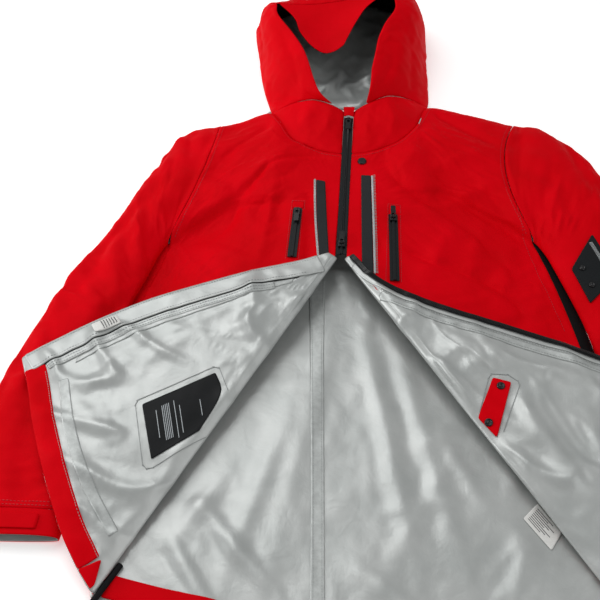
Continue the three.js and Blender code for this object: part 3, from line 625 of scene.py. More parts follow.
# back, lying on the floor
back = {
    "pitch": 8.5,
    "spare": 0.008,
    "stiffness": 0.35,
    "lowest": 0.0012,  # metres, so that the wall below stays on the floor
    "covered": 0.0016,  # metres, the most where other panels lie on it
    "hem": [(-252, -545), (-190, -556), (-100, -571), (20, -580), (150, -578), (250, -562), (334, -540)],
    "rightSide": [(-252, -545), (-265, -470), (-279, -380), (-284, -280), (-279, -190), (-267, -120),
                  (-252, -60), (-244.5, -22), (-227, 30), (-215, 108), (-206, 180), (-201, 235)],
    "leftSide": [(334, -540), (341, -440), (339, -330), (329, -220), (315, -140), (293, -50), (271, 18),
                 (250, 60), (238, 140), (246, 210), (259, 266)],
    "neck": [(-201, 235), (-150, 258), (-124, 288), (-60, 293), (0, 294), (60, 299), (116, 310), (150, 294),
             (259, 266)],
    "folds": [((34, -150), (100, -480), 6, 10), ((52, -150), (128, -470), -2, 8),
              ((80, -180), (161, -508), 4, 10), ((-9, -158), (-66, -523), 4, 16),
              ((126, -305), (190, -420), 4, 8), ((100, -330), (170, -300), 3, 6),
              ((210, -334), (262, -507), 5, 12), ((-43, -241), (-115, -538), 5, 12),
              ((-150, -420), (-60, -520), 6, 9), ((-120, -380), (-170, -470), 6, 10),
              ((60, -420), (150, -400), 2.5, 6), ((20, -480), (110, -545), 5, 14),
              ((150, -330), (60, -520), 2.5, 7), ((240, -400), (200, -560), 5, 12),
              ((-180, -460), (-120, -555), 6, 9)],
}


def flat(points, z=sizes["cloth"] / 2):
    return [(p[0], p[1], z) for p in points]


backSurface = spanned(flat(back["hem"]), flat(back["neck"]), flat(back["rightSide"]), flat(back["leftSide"]))
backShell = clothGrid("backLining", backSurface, back["pitch"], membrane, shellNylon)
layFolds(backShell, back["folds"])
sideLines = []
for key in ("rightSide", "leftSide"):
    sideLines += [(Vector(p[:2]), Vector(q[:2])) for p, q in zip(back[key], back[key][1:])]
backHeld = {vert.index for vert in backShell.data.vertices
            if vert.co.y > -0.05 or awayFrom(vert.co, sideLines) < 20}
letSettle(backShell, back["spare"], back["stiffness"], 0.7, backHeld | outlineVerts(backShell), 7)

# folds, upper fronts
folds = {
    "right": (Vector((-zipEdge - 0.6, -60, level + 3.5)), Vector((-250, -541, 8))),
    "left": (Vector((zipEdge + 0.6, -60, level + 3.5)), Vector((331, -528, 8))),
}
foldDrop = 3.5


def foldSide(side):
    a, b = folds[side]
    sideways = Vector((0, 0, 1)).cross((b - a).normalized()).normalized()
    return -sideways if side == "right" else sideways


def foldPoint(side, t, out, up):
    a, b = folds[side]
    return a.lerp(b, t) + foldSide(side) * out + Vector((0, 0, up))


def foldEdge(side, out, up):
    return [foldPoint(side, t, out, up) for t in (0, 0.25, 0.5, 0.75, 1)]


front = {
    "pitch": 7.0,
    "spare": 0.014,
    "stiffness": 0.9,
    "rightNeck": [(-198, 238, seamLevel + 1), (-158, 251, 9), (-124, 262, 17), (-104, 226, 28),
                  (-84, 186, 32), (-44, 160, level), (-zipEdge, 154, level)],
    "leftNeck": [(zipEdge, 156, level), (34, 162, level), (76, 189, 33), (106, 236, 28), (126, 292, 17),
                 (190, 285, 9), (258, 270, seamLevel + 1)],
    "rightSide": [(-263, -470), (-277, -380), (-282, -280), (-277, -190), (-265, -120), (-251, -62)],
    "leftSide": [(339, -440), (337, -330), (327, -220), (313, -140), (291, -46)],
    "rightFolds": [((-40, 130), (-150, 110), 5, 13), ((-60, 150), (-190, 60), 4, 14),
                   ((-120, 210), (-200, 150), 5, 14), ((-150, 60), (-230, 20), 4, 10),
                   ((-215, 100), (-120, 10), 4, 12), ((-200, -30), (-120, -70), 4, 11),
                   ((-100, 100), (-112, -70), 4, 9), ((-60, 190), (-110, 130), 4, 9)],
    "leftFolds": [((150, 215), (70, 120), 5, 14), ((230, 200), (120, 130), 5, 11),
                  ((225, 120), (140, 60), 4, 10), ((240, 80), (150, 100), 3, 8),
                  ((160, 30), (110, -90), 5, 14), ((200, 40), (170, -90), 4, 14),
                  ((240, 10), (215, -120), 4, 12), ((130, 230), (100, 180), 4, 9)],
}


def armhole(side, shift):
    points = []
    for k in range(9):
        p = sleevePoint(side, 0, math.pi * (1 - k / 8))
        points.append((p.x + shift, p.y, p.z))
    return points


rightArm, leftArm = armhole("right", 0.5), armhole("left", -0.5)
rightArm[0], leftArm[0] = (-243.5, -22, seamLevel + 0.8), (270.5, 18, seamLevel + 0.8)
rightArm[8], leftArm[8] = front["rightNeck"][0], front["leftNeck"][6]
rightBody = [foldPoint("right", 1, 0, -foldDrop)] + flat(front["rightSide"], seamLevel)
rightBody.append((-246, -36, seamLevel + 0.2))
leftBody = [foldPoint("left", 1, 0, -foldDrop)] + flat(front["leftSide"], seamLevel)
leftBody.append((276, 4, seamLevel + 0.2))
rightFront = spanned(foldEdge("right", 0, -foldDrop)[::-1], front["rightNeck"], rightBody + rightArm,
                     [foldPoint("right", 0, 0, -foldDrop), (-zipEdge, 40, level), front["rightNeck"][6]], 4)
leftFront = spanned(foldEdge("left", 0, -foldDrop), front["leftNeck"],
                    [foldPoint("left", 0, 0, -foldDrop), (zipEdge, 40, level), front["leftNeck"][0]],
                    leftBody + leftArm, 4)
fronts = {
    "right": clothGrid("rightFrontShell", rightFront, front["pitch"], shellNylon, membrane),
    "left": clothGrid("leftFrontShell", leftFront, front["pitch"], shellNylon, membrane),
}
for side in ("right", "left"):
    layFolds(fronts[side], front[side + "Folds"])
    letSettle(fronts[side], front["spare"], front["stiffness"], 1.4, None, 11 if side == "right" else 13)
print("body cut")

# collar and hood
chin = 40.0
collarSeams = {
    "right": [(-zipEdge, 246, chin), (-26, 252, 47), (-58, 266, 44), (-92, 270, 30), (-123, 264, 15)],
    "left": [(zipEdge, 247, chin), (24, 256, 47), (60, 280, 46), (96, 294, 30), (125, 294, 15)],
}


def partOf(points, start, end, count):
    line = edgeLine(points)
    return [line.byPoint(start + (end - start) * k / count) for k in range(count + 1)]


collars = {
    "right": spanned(partOf(front["rightNeck"], 2 / 6, 1, 16), collarSeams["right"][::-1],
                     [front["rightNeck"][2], collarSeams["right"][4]],
                     [front["rightNeck"][6], (-zipEdge, 205, level), collarSeams["right"][0]], 5),
    "left": spanned(partOf(front["leftNeck"], 0, 4 / 6, 16), collarSeams["left"],
                    [front["leftNeck"][0], (zipEdge, 205, level), collarSeams["left"][0]],
                    [front["leftNeck"][4], collarSeams["left"][4]], 5),
}
ground = seamLevel
hood = {
    "pitch": 6.5,
    "spare": 0.03,
    "stiffness": 0.5,
    "rightRim": [(-26, 253, 48), (-46, 262, 62), (-58, 284, 74), (-68, 311, 86), (-78, 335, 92),
                 (-98, 368, 98), (-124, 414, 99), (-128, 446, 96)],
    "leftRim": [(26, 257, 48), (31, 275, 70), (32, 302, 82), (36, 328, 90), (40, 360, 96), (50, 396, 101),
                (66, 434, 105), (60, 480, 106)],
    "crownFront": [(-128, 447, 96), (-80, 452, 92), (-30, 462, 93), (20, 476, 100), (60, 481, 106)],
    "brimTip": [(-70, 363, 80), (-56, 351, 77), (-43, 346, 75), (-28, 351, 76), (-14, 363, 80)],
    "brimRoot": [(-124, 446.6, 96), (-80, 451.2, 92), (-30, 461.2, 93), (20, 475.2, 100),
                 (54, 479.8, 105.6)],
}
hoodPanels = {
    "right": spanned([(-123, 264.6, 15), (-128, 290, ground), (-141, 335, ground), (-151, 400, ground),
                      (-160, 464, ground), (-152, 520, ground)], hood["rightRim"],
                     [(-123, 264.6, 15), (-92, 270.6, 30), (-58, 266.6, 44.3), (-26, 253, 48)],
                     [(-152, 520, ground), (-158, 496, 30), (-146, 466, 78), (-128, 446, 96)], 14,
                     (-0.7, 0, 0.4)),
    "left": spanned(hood["leftRim"], [(125, 294.6, 15), (128, 330, ground), (126, 380, ground),
                                      (124, 430, ground), (121, 480, ground), (112, 530, ground)],
                    [(26, 257, 48), (60, 280.8, 46.4), (96, 294.8, 30.2), (125, 294.6, 15)],
                    [(60, 480, 106), (88, 494, 92), (106, 516, 50), (112, 530, ground)], 14, (0.7, 0, 0.4)),
}
crown = spanned([(-152, 521, ground), (-90, 570, ground), (-20, 592, ground), (50, 580, ground),
                 (112, 531, ground)],
                hood["crownFront"],
                [(-152, 521, ground), (-158, 497, 30), (-146, 467, 78), (-128, 447, 96)],
                [(112, 531, ground), (106, 517, 50), (88, 495, 92), (60, 481, 106)], 22, (0, 0.6, 0.7))
brim = spanned(hood["brimTip"], hood["brimRoot"], [(-70, 363, 80), (-86, 386, 86), (-96, 415, 90),
                                                   (-124, 446.6, 96)],
               [(-14, 363, 80), (-5, 389, 86), (5, 414, 92), (20, 445, 98), (54, 479.8, 105.6)], -6)
mid = sizes["cloth"] / 2
hoodBack = spanned([(-132, 303, mid), (-60, 296, mid), (0, 298, mid), (60, 304, mid), (122, 318, mid)],
                   [(-151, 521, ground), (-89.5, 569.5, ground), (-20, 591.4, ground), (49.5, 579.5, ground),
                    (111.5, 531, ground)],
                   [(-132, 303, mid), (-145, 350, mid), (-155, 410, mid), (-161, 470, mid),
                    (-151, 521, ground)],
                   [(122, 318, mid), (125, 380, mid), (123, 430, mid), (120, 480, mid),
                    (111.5, 531, ground)])
headPieces = {
    "collarRightShell": (collars["right"], shellNylon, membrane, (0, 0, 1), "collar_right", "shell"),
    "collarLeftShell": (collars["left"], shellNylon, membrane, (0, 0, 1), "collar_left", "shell"),
    "hoodRightShell": (hoodPanels["right"], shellNylon, facing, (-0.7, 0, 0.6), "hood_right_panel", "shell"),
    "hoodLeftShell": (hoodPanels["left"], shellNylon, facing, (0.7, 0, 0.6), "hood_left_panel", "shell"),
    "hoodCrownShell": (crown, shellNylon, facing, (0, 0.4, 1), "hood_crown", "shell"),
    "hoodBrimShell": (brim, shellNylon, facing, (0, 0, 1), "hood_brim", "brim"),
    "hoodBackLining": (hoodBack, membrane, shellNylon, (0, 0, 1), "hood_back_panel", "shell"),
}
hoodFolds = {
    "collarRightShell": [((-24, 240), (-40, 180), 3, 7), ((-60, 255), (-70, 200), 4, 8)],
    "collarLeftShell": [((30, 245), (26, 175), 3, 7), ((60, 270), (70, 200), 4, 9)],
    "hoodBackLining": [((-50, 310), (-10, 400), 5, 9), ((10, 305), (-30, 420), 5, 8),
                       ((40, 320), (20, 430), 5, 9), ((-90, 340), (-20, 360), 4, 8),
                       ((-10, 350), (50, 390), 5, 7)],
}
head = {}
for number, (name, (surface, outside, inside, up, node, body)) in enumerate(headPieces.items()):
    piece = clothGrid(name, surface, hood["pitch"], outside, inside, up)
    if name in hoodFolds:
        layFolds(piece, hoodFolds[name])
    if name != "hoodBrimShell":
        letSettle(piece, hood["spare"], hood["stiffness"], 1.2, None, 17 + number)
    head[name] = piece
print("hood cut")

# lower fronts, rolled over at the fold and laid silver side up
flap = {
    "pitch": 6.5,
    "spare": 0.014,
    "stiffness": 0.12,
    "lift": 3.6,
    "rollRows": 4,
    "easings": 3,
    "right": {
        "zip": [(-17, -54, 15.4), (-55, -72, 15), (-120, -95, 15), (-184, -122, 14), (-246, -151, 13),
                (-306, -187, 11), (-351, -218, 8), (-394, -250, 5)],
        "hem": [(-394, -250, 5), (-376, -293, 4), (-360, -338, 3), (-326, -417, 1), (-293, -482, -4),
                (-268, -520, -10)],
        "folds": [((-30, -80), (-200, -170), 4, 8), ((-60, -110), (-330, -270), 3, 8),
                  ((-330, -300), (-230, -380), 5, 7), ((-345, -330), (-255, -430), 5, 8),
                  ((-325, -380), (-262, -460), 5, 7), ((-70, -150), (-150, -200), 4, 8),
                  ((-250, -240), (-310, -300), 4, 8), ((-180, -200), (-240, -250), 4, 8),
                  ((-300, -420), (-262, -490), 4, 6)],
    },
    "left": {
        "zip": [(17, -57, 15.4), (50, -96, 15), (93, -122, 15), (145, -142, 14), (208, -163, 14),
                (270, -184, 13), (331, -206, 11), (406, -236, 7)],
        "hem": [(406, -236, 7), (400, -330, 5), (384, -420, 2), (362, -482, -5)],
        "folds": [((40, -100), (110, -190), 5, 9), ((60, -140), (160, -270), 4, 8),
                  ((110, -160), (230, -240), 4, 8), ((130, -230), (240, -330), 5, 9),
                  ((230, -280), (300, -420), 5, 11), ((300, -270), (340, -400), 5, 11),
                  ((250, -220), (350, -290), 4, 9), ((180, -330), (260, -420), 5, 9),
                  ((340, -250), (390, -330), 4, 9)],
    },
}
flapLines = {
    side: {key: [(p[0], p[1], p[2] + sizes["sleeveHeight"]) for p in flap[side][key]]
           for key in ("zip", "hem")}
    for side in ("right", "left")
}


def flapSurface(side):
    lines = flapLines[side]
    low = foldEdge(side, 2, flap["lift"])
    sheet = spanned(low, lines["zip"], [low[0], lines["zip"][0]], [low[4]] + lines["hem"][::-1])
    rows = max(4, round(sheet.size[1] / flap["pitch"]))
    total = rows + flap["rollRows"]

    def at(u, v):
        row = v * total
        if row > flap["rollRows"] - 1e-6:
            return sheet(u, (row - flap["rollRows"]) / rows)
        angle = math.pi * (row / flap["rollRows"] - 0.5)
        return foldPoint(side, u, -foldDrop * math.cos(angle)
                         + 2 * max(0, row / flap["rollRows"] - 0.5) * 0.9, foldDrop * math.sin(angle) + 0.1)

    at.size = (sheet.size[0], total * flap["pitch"])
    at.rolled = flap["rollRows"] / total
    at.sheet = sheet
    return at


flaps = {}
for side in ("right", "left"):
    surface = flapSurface(side)
    piece = clothGrid(side + "LowerFrontLining", surface, flap["pitch"], membrane, shellNylon)
    layFolds(piece, flap[side]["folds"])
    a = folds[side][0] * mm
    away = foldSide(side)
    held = {vert.index for vert in piece.data.vertices if (vert.co - a).dot(away) < 0.004}
    letSettle(piece, flap["spare"], flap["stiffness"], 1.2, held | outlineVerts(piece),
              29 if side == "right" else 31)
    flaps[side] = piece
print("lower fronts cut; settling", len(waiting), "panels")
settleAll()
crumples = {
    "rightFlap": {"height": 6.2, "span": 68, "run": (1, -0.2), "calm": [((-190, -300), (-190, -345))],
                  "clear": 48, "seed": 3.1},
    "leftFlap": {"height": 6.0, "span": 72, "run": (0.7, -0.7), "calm": [((205, -255), (187, -310))],
                 "clear": 20, "seed": 5.7},
    "rightFront": {"height": -6.4, "span": 95, "run": (0.8, 0.6), "seed": 2.2, "fade": 30},
    "leftFront": {"height": -6.4, "span": 95, "run": (0.8, -0.6), "seed": 8.4, "fade": 30},
    "rightSleeve": {"height": -6.0, "span": 80, "run": (0.3, 1), "seed": 4.4, "fade": 12},
    "leftSleeve": {"height": -6.4, "span": 70, "run": (-0.3, 1), "seed": 6.3, "fade": 12},
    "back": {"height": 0.6, "span": 70, "run": (0.1, 1), "seed": 9.2, "fade": 40},
}
crumpled = {"rightFlap": flaps["right"], "leftFlap": flaps["left"], "rightFront": fronts["right"],
            "leftFront": fronts["left"], "rightSleeve": sleeves["right"], "leftSleeve": sleeves["left"],
            "back": backShell}
for side in ("right", "left"):
    eased = bmesh.new()
    eased.from_mesh(flaps[side].data)
    inside = [vert for vert in eased.verts if not vert.is_boundary and vert.normal.z > 0.5]
    for again in range(flap["easings"]):
        bmesh.ops.smooth_vert(eased, verts=inside, factor=0.5, use_axis_x=True, use_axis_y=True,
                              use_axis_z=True)
    eased.to_mesh(flaps[side].data)
    eased.free()
for name, values in crumples.items():
    crumple(crumpled[name], **values)
crumple(head["hoodBackLining"], 4.5, 42, (0.6, 0.6), seed=1.5)
for name, seed in (("hoodRightShell", 2.6), ("hoodLeftShell", 7.3), ("hoodCrownShell", 4.8)):
    crumple(head[name], -4.6, 75, (0.2, 1), seed=seed, fade=34)
for name, seed in (("collarRightShell", 3.3), ("collarLeftShell", 9.1)):
    crumple(head[name], -1.6, 45, (0.2, 1), seed=seed)
for piece in (backShell, head["hoodBackLining"]):
    for vert in piece.data.vertices:
        vert.co.z = max(vert.co.z, back["lowest"])
for vert in backShell.data.vertices:
    for side in ("right", "left"):
        if (vert.co / mm - folds[side][0]).dot(foldSide(side)) > 6 or vert.co.y > -0.05:
            vert.co.z = min(vert.co.z, back["covered"])
for side in ("right", "left"):
    for vert in fronts[side].data.vertices:
        vert.co.z = max(vert.co.z, (seamLevel + 0.2) * mm)
calmSpots = {
    "right": [((-66, -58), (-66, 50)), ((-35, 92), (-23, -52)), ((-8, 154), (-8, -60))],
    "left": [((72, -91), (72, 31)), ((30, 108), (37, -64)), ((8, 154), (8, -60)),
             ((23.5, 138), (23.5, 139))],
}
neckSpots = {
    "right": [((-84, 186), (-104, 226)), ((-104, 226), (-124, 262))],
    "left": [((76, 189), (106, 236)), ((106, 236), (126, 292)), ((126, 292), (150, 290))],
}
for side in ("right", "left"):
    keepCalm(fronts[side], calmSpots[side] + neckSpots[side], 9, 24)
    keepCalm(head["collar" + side.capitalize() + "Shell"], neckSpots[side], 9, 24)
    keepCalm(head["hood" + side.capitalize() + "Shell"], neckSpots[side], 6, 20)
badgeSpots = [sleevePoint("left", t, 1.95) for t in (0.36, 0.41, 0.46)]
badgeLines = [(Vector(p[:2]), Vector(q[:2])) for p, q in zip(badgeSpots, badgeSpots[1:])]
keepCalm(sleeves["left"], badgeLines, 34, 60)
keepCalm(backShell, [((240, -400), (258, -440))], 20, 40)
print("cloth settled")

for side in ("right", "left"):
    placed(wall(sleeves[side], sleeve["wall"], False), "shell", "red_laminate", side + "_sleeve")
    placed(wall(cuffs[side], 1.2, False), "shell", "red_laminate", side + "_cuff")
    placed(wall(fronts[side], 0.8, False), "shell", "red_laminate", side + "_front_panel")
placed(wall(backShell, 0.8), "shell", "silver_membrane", "back_panel")
for name, (surface, outside, inside, up, node, body) in headPieces.items():
    slotName = "silver_membrane" if outside == membrane else "red_laminate"
    placed(wall(head[name], 0.9, outside == membrane), body, slotName, node)
for side in ("right", "left"):
    piece = wall(flaps[side], 0.8)
    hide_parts(side + "_lower_front")
    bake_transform(piece)
print("panels finished")


# trims: strips and small pieces that lie on the settled cloth
graph = bpy.context.evaluated_depsgraph_get()
graph.update()
hosts = {"back": BVHTree.FromObject(backShell, graph)}
for side in ("right", "left"):
    for part, pieces in (("Flap", flaps), ("Front", fronts), ("Sleeve", sleeves), ("Cuff", cuffs)):
        hosts[side + part] = BVHTree.FromObject(pieces[side], graph)


# The point of a host under a plan place given in millimetres, and the host's normal there, both in metres.
def under(host, x, y):
    place, normal = hosts[host].ray_cast(Vector((x * mm, y * mm, 0.3)), Vector((0, 0, -1)))[:2]
    if place is None:
        place, normal = hosts[host].find_nearest(Vector((x * mm, y * mm, 0.03)))[:2]
    return place, normal if normal.z > 0 else -normal


def inward(points, distance, side, start=0.0, end=1.0, count=24):
    line = edgeLine(points)
    turn = 1 if side == "right" else -1
    made = []
    for k in range(count + 1):
        t = start + (end - start) * k / count
        p = line(t)
        d = line(min(1.0, t + 0.004)) - line(max(0.0, t - 0.004))
        d = Vector((d.x, d.y)).normalized()
        made.append((p.x - d.y * distance * turn, p.y + d.x * distance * turn))
    return made


def hugStrip(name, host, sideA, sideB, outside, pitch=4.0, lift=0.5, thickness=0.7, body="shell",
             slotName="black_trim", nodes=(), inside=None):
    a, b = edgeLine([p[:2] for p in sideA]), edgeLine([p[:2] for p in sideB])
    width = max((a(t) - b(t)).length for t in (0, 0.5, 1))
    bm = bmesh.new()
    bmesh.ops.create_grid(bm, x_segments=max(2, round(a.length / pitch)),
                          y_segments=max(2, round(width / pitch)), size=0.5)
    for vert in bm.verts:
        plan = a(vert.co.x + 0.5).lerp(b(vert.co.x + 0.5), vert.co.y + 0.5)
        place, normal = under(host, plan.x, plan.y)
        vert.co = place + (normal + Vector((0, 0, 1))).normalized() * (lift * mm)
    bmesh.ops.smooth_vert(bm, verts=[v for v in bm.verts if not v.is_boundary], factor=0.4, use_axis_z=True)
    piece = finished(bm, name, outside, inside, (0, 0, 1))
    wall(piece, thickness, False, 1.0)
    return placed(piece, body, slotName, *nodes)


# A run of small blocks, such as stitches or zip teeth, each set along its line and square to the cloth.
def blockRun(name, spots, size, material, body, slotName, nodes=(), rounded=0.0):
    bm = bmesh.new()
    for place, ahead, normal in spots:
        along = (ahead - normal * ahead.dot(normal)).normalized()
        across = normal.cross(along)
        turn = Matrix((across, along, normal)).transposed().to_4x4()
        spread = Matrix.Diagonal((size[0] * mm, size[1] * mm, size[2] * mm, 1))
        bmesh.ops.create_cube(bm, size=1, matrix=Matrix.Translation(place) @ turn @ spread)
    if rounded:
        bmesh.ops.bevel(bm, geom=bm.edges, offset=rounded * mm, segments=1, affect="EDGES", profile=0.5,
                        material=-1)
    return placed(finished(bm, name, material, smooth=False), body, slotName, *nodes)


def alongCloth(host, points, spacing, lift):
    line = edgeLine([p[:2] for p in points])
    count = max(2, round(line.length / spacing))
    spots = []
    for k in range(count + 1):
        start = min(k, count - 0.3)  # the last one is set back, so that it still has a direction
        p, q = line(start / count), line((start + 0.3) / count)
        place, normal = under(host, p.x, p.y)
        ahead = under(host, q.x, q.y)[0]
        if (ahead - place).length > 1e-6:
            spots.append((place + normal * (lift * mm), (ahead - place).normalized(), normal))
    return spots


def stitch(name, host, lines, material, body="shell", slotName="red_laminate", spacing=4.2, lift=0.25,
           size=(0.7, 2.6, 0.5)):
    spots = []
    for points in lines:
        spots += alongCloth(host, points, spacing, lift)
    return blockRun(name, spots, size, material, body, slotName)


# A hard piece taken over from the solid model, merged, with its edges eased and a finish.
def refined(name, node, material, body, slotName, ease=0.25):
    bm = bmesh.new()
    bm.from_mesh(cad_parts[node].data)
    bmesh.ops.remove_doubles(bm, verts=bm.verts, dist=0.000002)
    bmesh.ops.dissolve_limit(bm, angle_limit=0.02, verts=bm.verts, edges=bm.edges)
    if ease:
        sharp = [e for e in bm.edges if len(e.link_faces) == 2 and e.calc_face_angle(0) > 0.5]
        bmesh.ops.bevel(bm, geom=sharp, offset=ease * mm, segments=2, affect="EDGES", profile=0.5,
                        material=-1)
    return placed(finished(bm, name, material, smooth=False), body, slotName, node)


# side seams: the body turns under at its sides
# the left one is cut in the black lining material as painted shade, for the dark shadowed gap between body
# and sleeve
sideTurn = {"reach": 19, "tuck": 2, "along": 60, "across": 4, "wall": 0.6}
for side, out in (("right", -1), ("left", 1)):
    body = rightBody if side == "right" else leftBody
    end = (-240, -8, seamLevel) if side == "right" else (266, 32, seamLevel)
    edge = edgeLine([tuple(p) for p in body[1:]] + [end])
    bm = bmesh.new()
    bmesh.ops.create_grid(bm, x_segments=sideTurn["along"], y_segments=sideTurn["across"], size=0.5)
    for vert in bm.verts:
        t, s = vert.co.x + 0.5, vert.co.y + 0.5
        p = edge(t)
        taper = min(1, (1 - t) * 8 + 0.8) * min(1, 0.2 + 1.8 * t)
        reach = sideTurn["reach"] * math.sin(s * math.pi / 2) * taper
        fall = (p.z - 0.9) * (1 - math.cos(s * math.pi / 2))
        vert.co = Vector((p.x + out * (reach - sideTurn["tuck"]), p.y, p.z + 0.3 - fall)) * mm
    # on the left the black material is painted shade in the gap beside the sleeve
    turned = finished(bm, side + "SideSeam", shellNylon if side == "right" else facing, membrane, (0, 0, 1))
    placed(wall(turned, sideTurn["wall"], False), "shell", "red_laminate")

# main zip
hard = {
    "main_zip_right_tape": (coatedTape, "shell", "zip_tape", 0.3),
    "main_zip_left_tape": (coatedTape, "shell", "zip_tape", 0.3),
    "right_chest_zip": (coatedTape, "shell", "zip_tape", 0.25),
    "left_chest_zip": (coatedTape, "shell", "zip_tape", 0.25),
    "collar_snap": (acetal, "shell", "snap_plastic", 0.3),
    "main_upper_slider": (zincBlack, "main_upper_slider", "slider_metal", 0.22),
    "main_lower_slider": (zincBlack, "main_lower_slider", "slider_metal", 0.22),
    "right_chest_slider": (zincBlack, "right_chest_slider", "slider_metal", 0.22),
    "left_chest_slider": (zincBlack, "left_chest_slider", "slider_metal", 0.22),
    "main_upper_pull": (acetal, "main_upper_pull", "pull_plastic", 0.2),
    "main_lower_pull": (acetal, "main_lower_pull", "pull_plastic", 0.2),
    "right_chest_pull": (acetal, "right_chest_pull", "pull_plastic", 0.2),
    "left_chest_pull": (acetal, "left_chest_pull", "pull_plastic", 0.2),
}
for node, (material, body, slotName, ease) in hard.items():
    words = node.split("_")
    refined(words[0] + "".join(w.capitalize() for w in words[1:]), node, material, body, slotName, ease)

# the garage at the chin, where the top slider parks
slider = [vert.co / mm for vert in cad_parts["main_upper_slider"].data.vertices]
sliderTop, sliderHigh = max(p.y for p in slider), max(p.z for p in slider)
garage = spanned([(-7.6, sliderTop + 1, sliderHigh - 2), (0, sliderTop + 2, sliderHigh),
                  (7.6, sliderTop + 1, sliderHigh - 2)],
                 [(-8.5, 250, 46), (0, 252, 45), (8.5, 251, 46)],
                 [(-7.6, sliderTop + 1, sliderHigh - 2), (-8.5, 250, 46)],
                 [(7.6, sliderTop + 1, sliderHigh - 2), (8.5, 251, 46)], 1)
placed(wall(clothGrid("zipGarage", garage, 2.0, shellNylon, facing), 0.8, False), "shell", "red_laminate")

# chest trims
welts = {
    "right": {"a": [(-42, 92), (-37, 20), (-28, -62)], "b": [(-29, 91), (-23, 20), (-15.5, -62)]},
    "left": {"a": [(23, 108), (26, 20), (29.5, -76)], "b": [(37, 107), (41, 20), (45, -80)]},
}


def beside(points, distance):
    return [(p[0] + distance, p[1]) for p in points]


hugStrip("rightWeltStrip", "rightFront", welts["right"]["b"], welts["right"]["a"], webbing,
         nodes=("right_welt_strip",))
hugStrip("leftWeltStrip", "leftFront", welts["left"]["a"], welts["left"]["b"], webbing,
         nodes=("left_welt_strip",))
pipes = {
    "right": (beside(welts["right"]["a"], -0.6), beside(welts["right"]["a"], -3.6)),
    "left": (beside(welts["left"]["b"], 0.6), beside(welts["left"]["b"], 3.6)),
}
for side in ("right", "left"):
    hugStrip(side + "ReflectivePiping", side + "Front", pipes[side][0], pipes[side][1], glassBead, 3, 0.5,
             1.0, "shell", "reflective_piping", (side + "_reflective_piping",))
    grain = beside(pipes[side][1], 1.5)
    stitch(side + "PipingGrain", side + "Front", [grain], greyThread, "shell", "reflective_piping", 3.0,
           1.7, (2.6, 0.8, 0.4))
hugStrip("rightChestStop", "rightFront", [(-73, 36.5), (-73, 49.5)], [(-57, 36.5), (-57, 49.5)], shellNylon,
         3, 0.4, 0.5, "shell", "red_laminate", ("right_chest_patch",))
stitch("chestStitching", "rightFront", [[(-74, 34), (-74, 51), (-73.9, 51.1)], [(-73, 51), (-57, 51)],
                                        [(-56, 51), (-56, 34)],
       [(-57.8, -58), (-58.5, 34)], [(-75.4, -58), (-74.6, 34)]], redThread)
stitch("chestStitchingLeft", "leftFront", [[(63, 31), (62, -91)], [(81, 31), (83, -91)],
                                           [(63, 36), (63, 52)],
       [(64, 53), (80, 53)], [(81, 52), (81, 36)]], redThread)
bodySeams = {
    "right": [[(p[0] + 6, p[1]) for p in rightArm[1:8]], [(-8, 148), (-44, 154), (-86, 180), (-108, 220),
                                                          (-126, 252)]],
    "left": [[(p[0] - 6, p[1]) for p in leftArm[1:8]], [(10, 150), (36, 156), (78, 182), (110, 230),
                                                        (128, 280)],
             [(262, 5), (278, -60), (300, -140)], [(250, 66), (262, 5)]],
}
for side in ("right", "left"):
    stitch(side + "FrontStitching", side + "Front", bodySeams[side], redThread)
print("front trims done")

# right lower front
rz, rh = flapLines["right"]["zip"], flapLines["right"]["hem"]
lz, lh = flapLines["left"]["zip"], flapLines["left"]["hem"]


def onFlap(name, side, sideA, sideB, material, slotName, nodes=(), lift=0.6, thickness=0.7, pitch=4.0):
    return hugStrip(name, side + "Flap", sideA, sideB, material, pitch, lift, thickness, side + "_flap",
                    slotName, nodes)


onFlap("rightLowerZipTape", "right", inward(rz, 29, "right", 0.2, 0.95), inward(rz, 40, "right", 0.2, 0.95),
       seamFilm, "zip_tape", ("right_lower_zip_tape",), 0.4, 0.5)
onFlap("rightStormFlap", "right", inward(rz, 0.5, "right", 0.04, 0.99),
       inward(rz, sizes["stormFlap"], "right", 0.04, 0.99), membrane, "silver_membrane", ("storm_flap",),
       0.9, 0.9)
# a thin black strip painted as the shadow line along the storm flap's edge
onFlap("rightStormShade", "right", inward(rz, 28.4, "right", 0.12, 0.97),
       inward(rz, 29.6, "right", 0.12, 0.97), facing, "black_trim", (), 0.7, 0.3)
onFlap("rightHemFacing", "right", inward(rh, 0.5, "right", 0.08, 1),
       inward(rh, sizes["hemBand"], "right", 0.08, 1), shellNylon, "red_laminate", ("right_hem_facing",),
       0.6, 0.8)
onFlap("rightHemCorner", "right", [(-267.5, -519.5), (-251, -539)], [(-243, -508), (-247, -534)], shellNylon,
       "red_laminate", (), 0.6, 0.8)
onFlap("rightHemTape", "right", [(-338, -286), (-318, -350), (-284, -420), (-240, -482)],
       [(-326, -282), (-305, -345), (-272, -413), (-230, -474)], seamFilm, "seam_tape", (), 0.35, 0.35)
onFlap("rightPocketTape", "right", [(-60, -104), (-150, -146), (-250, -198), (-322, -248)],
       [(-62, -112), (-152, -155), (-252, -207), (-324, -257)], seamFilm, "seam_tape", (), 0.35, 0.35)
onFlap("stormFlapLabel", "right", [(-314, -199), (-284, -182)], [(-305, -214), (-275, -197)], satin,
       "white_label", ("storm_flap_label",), 2.7, 0.5)
onFlap("innerLabelFilm", "right", [(-230, -312), (-208, -383)], [(-147, -259), (-137, -284), (-157, -340)],
       transfer, "black_label", ("inner_label_patch",), 0.7, 0.3)
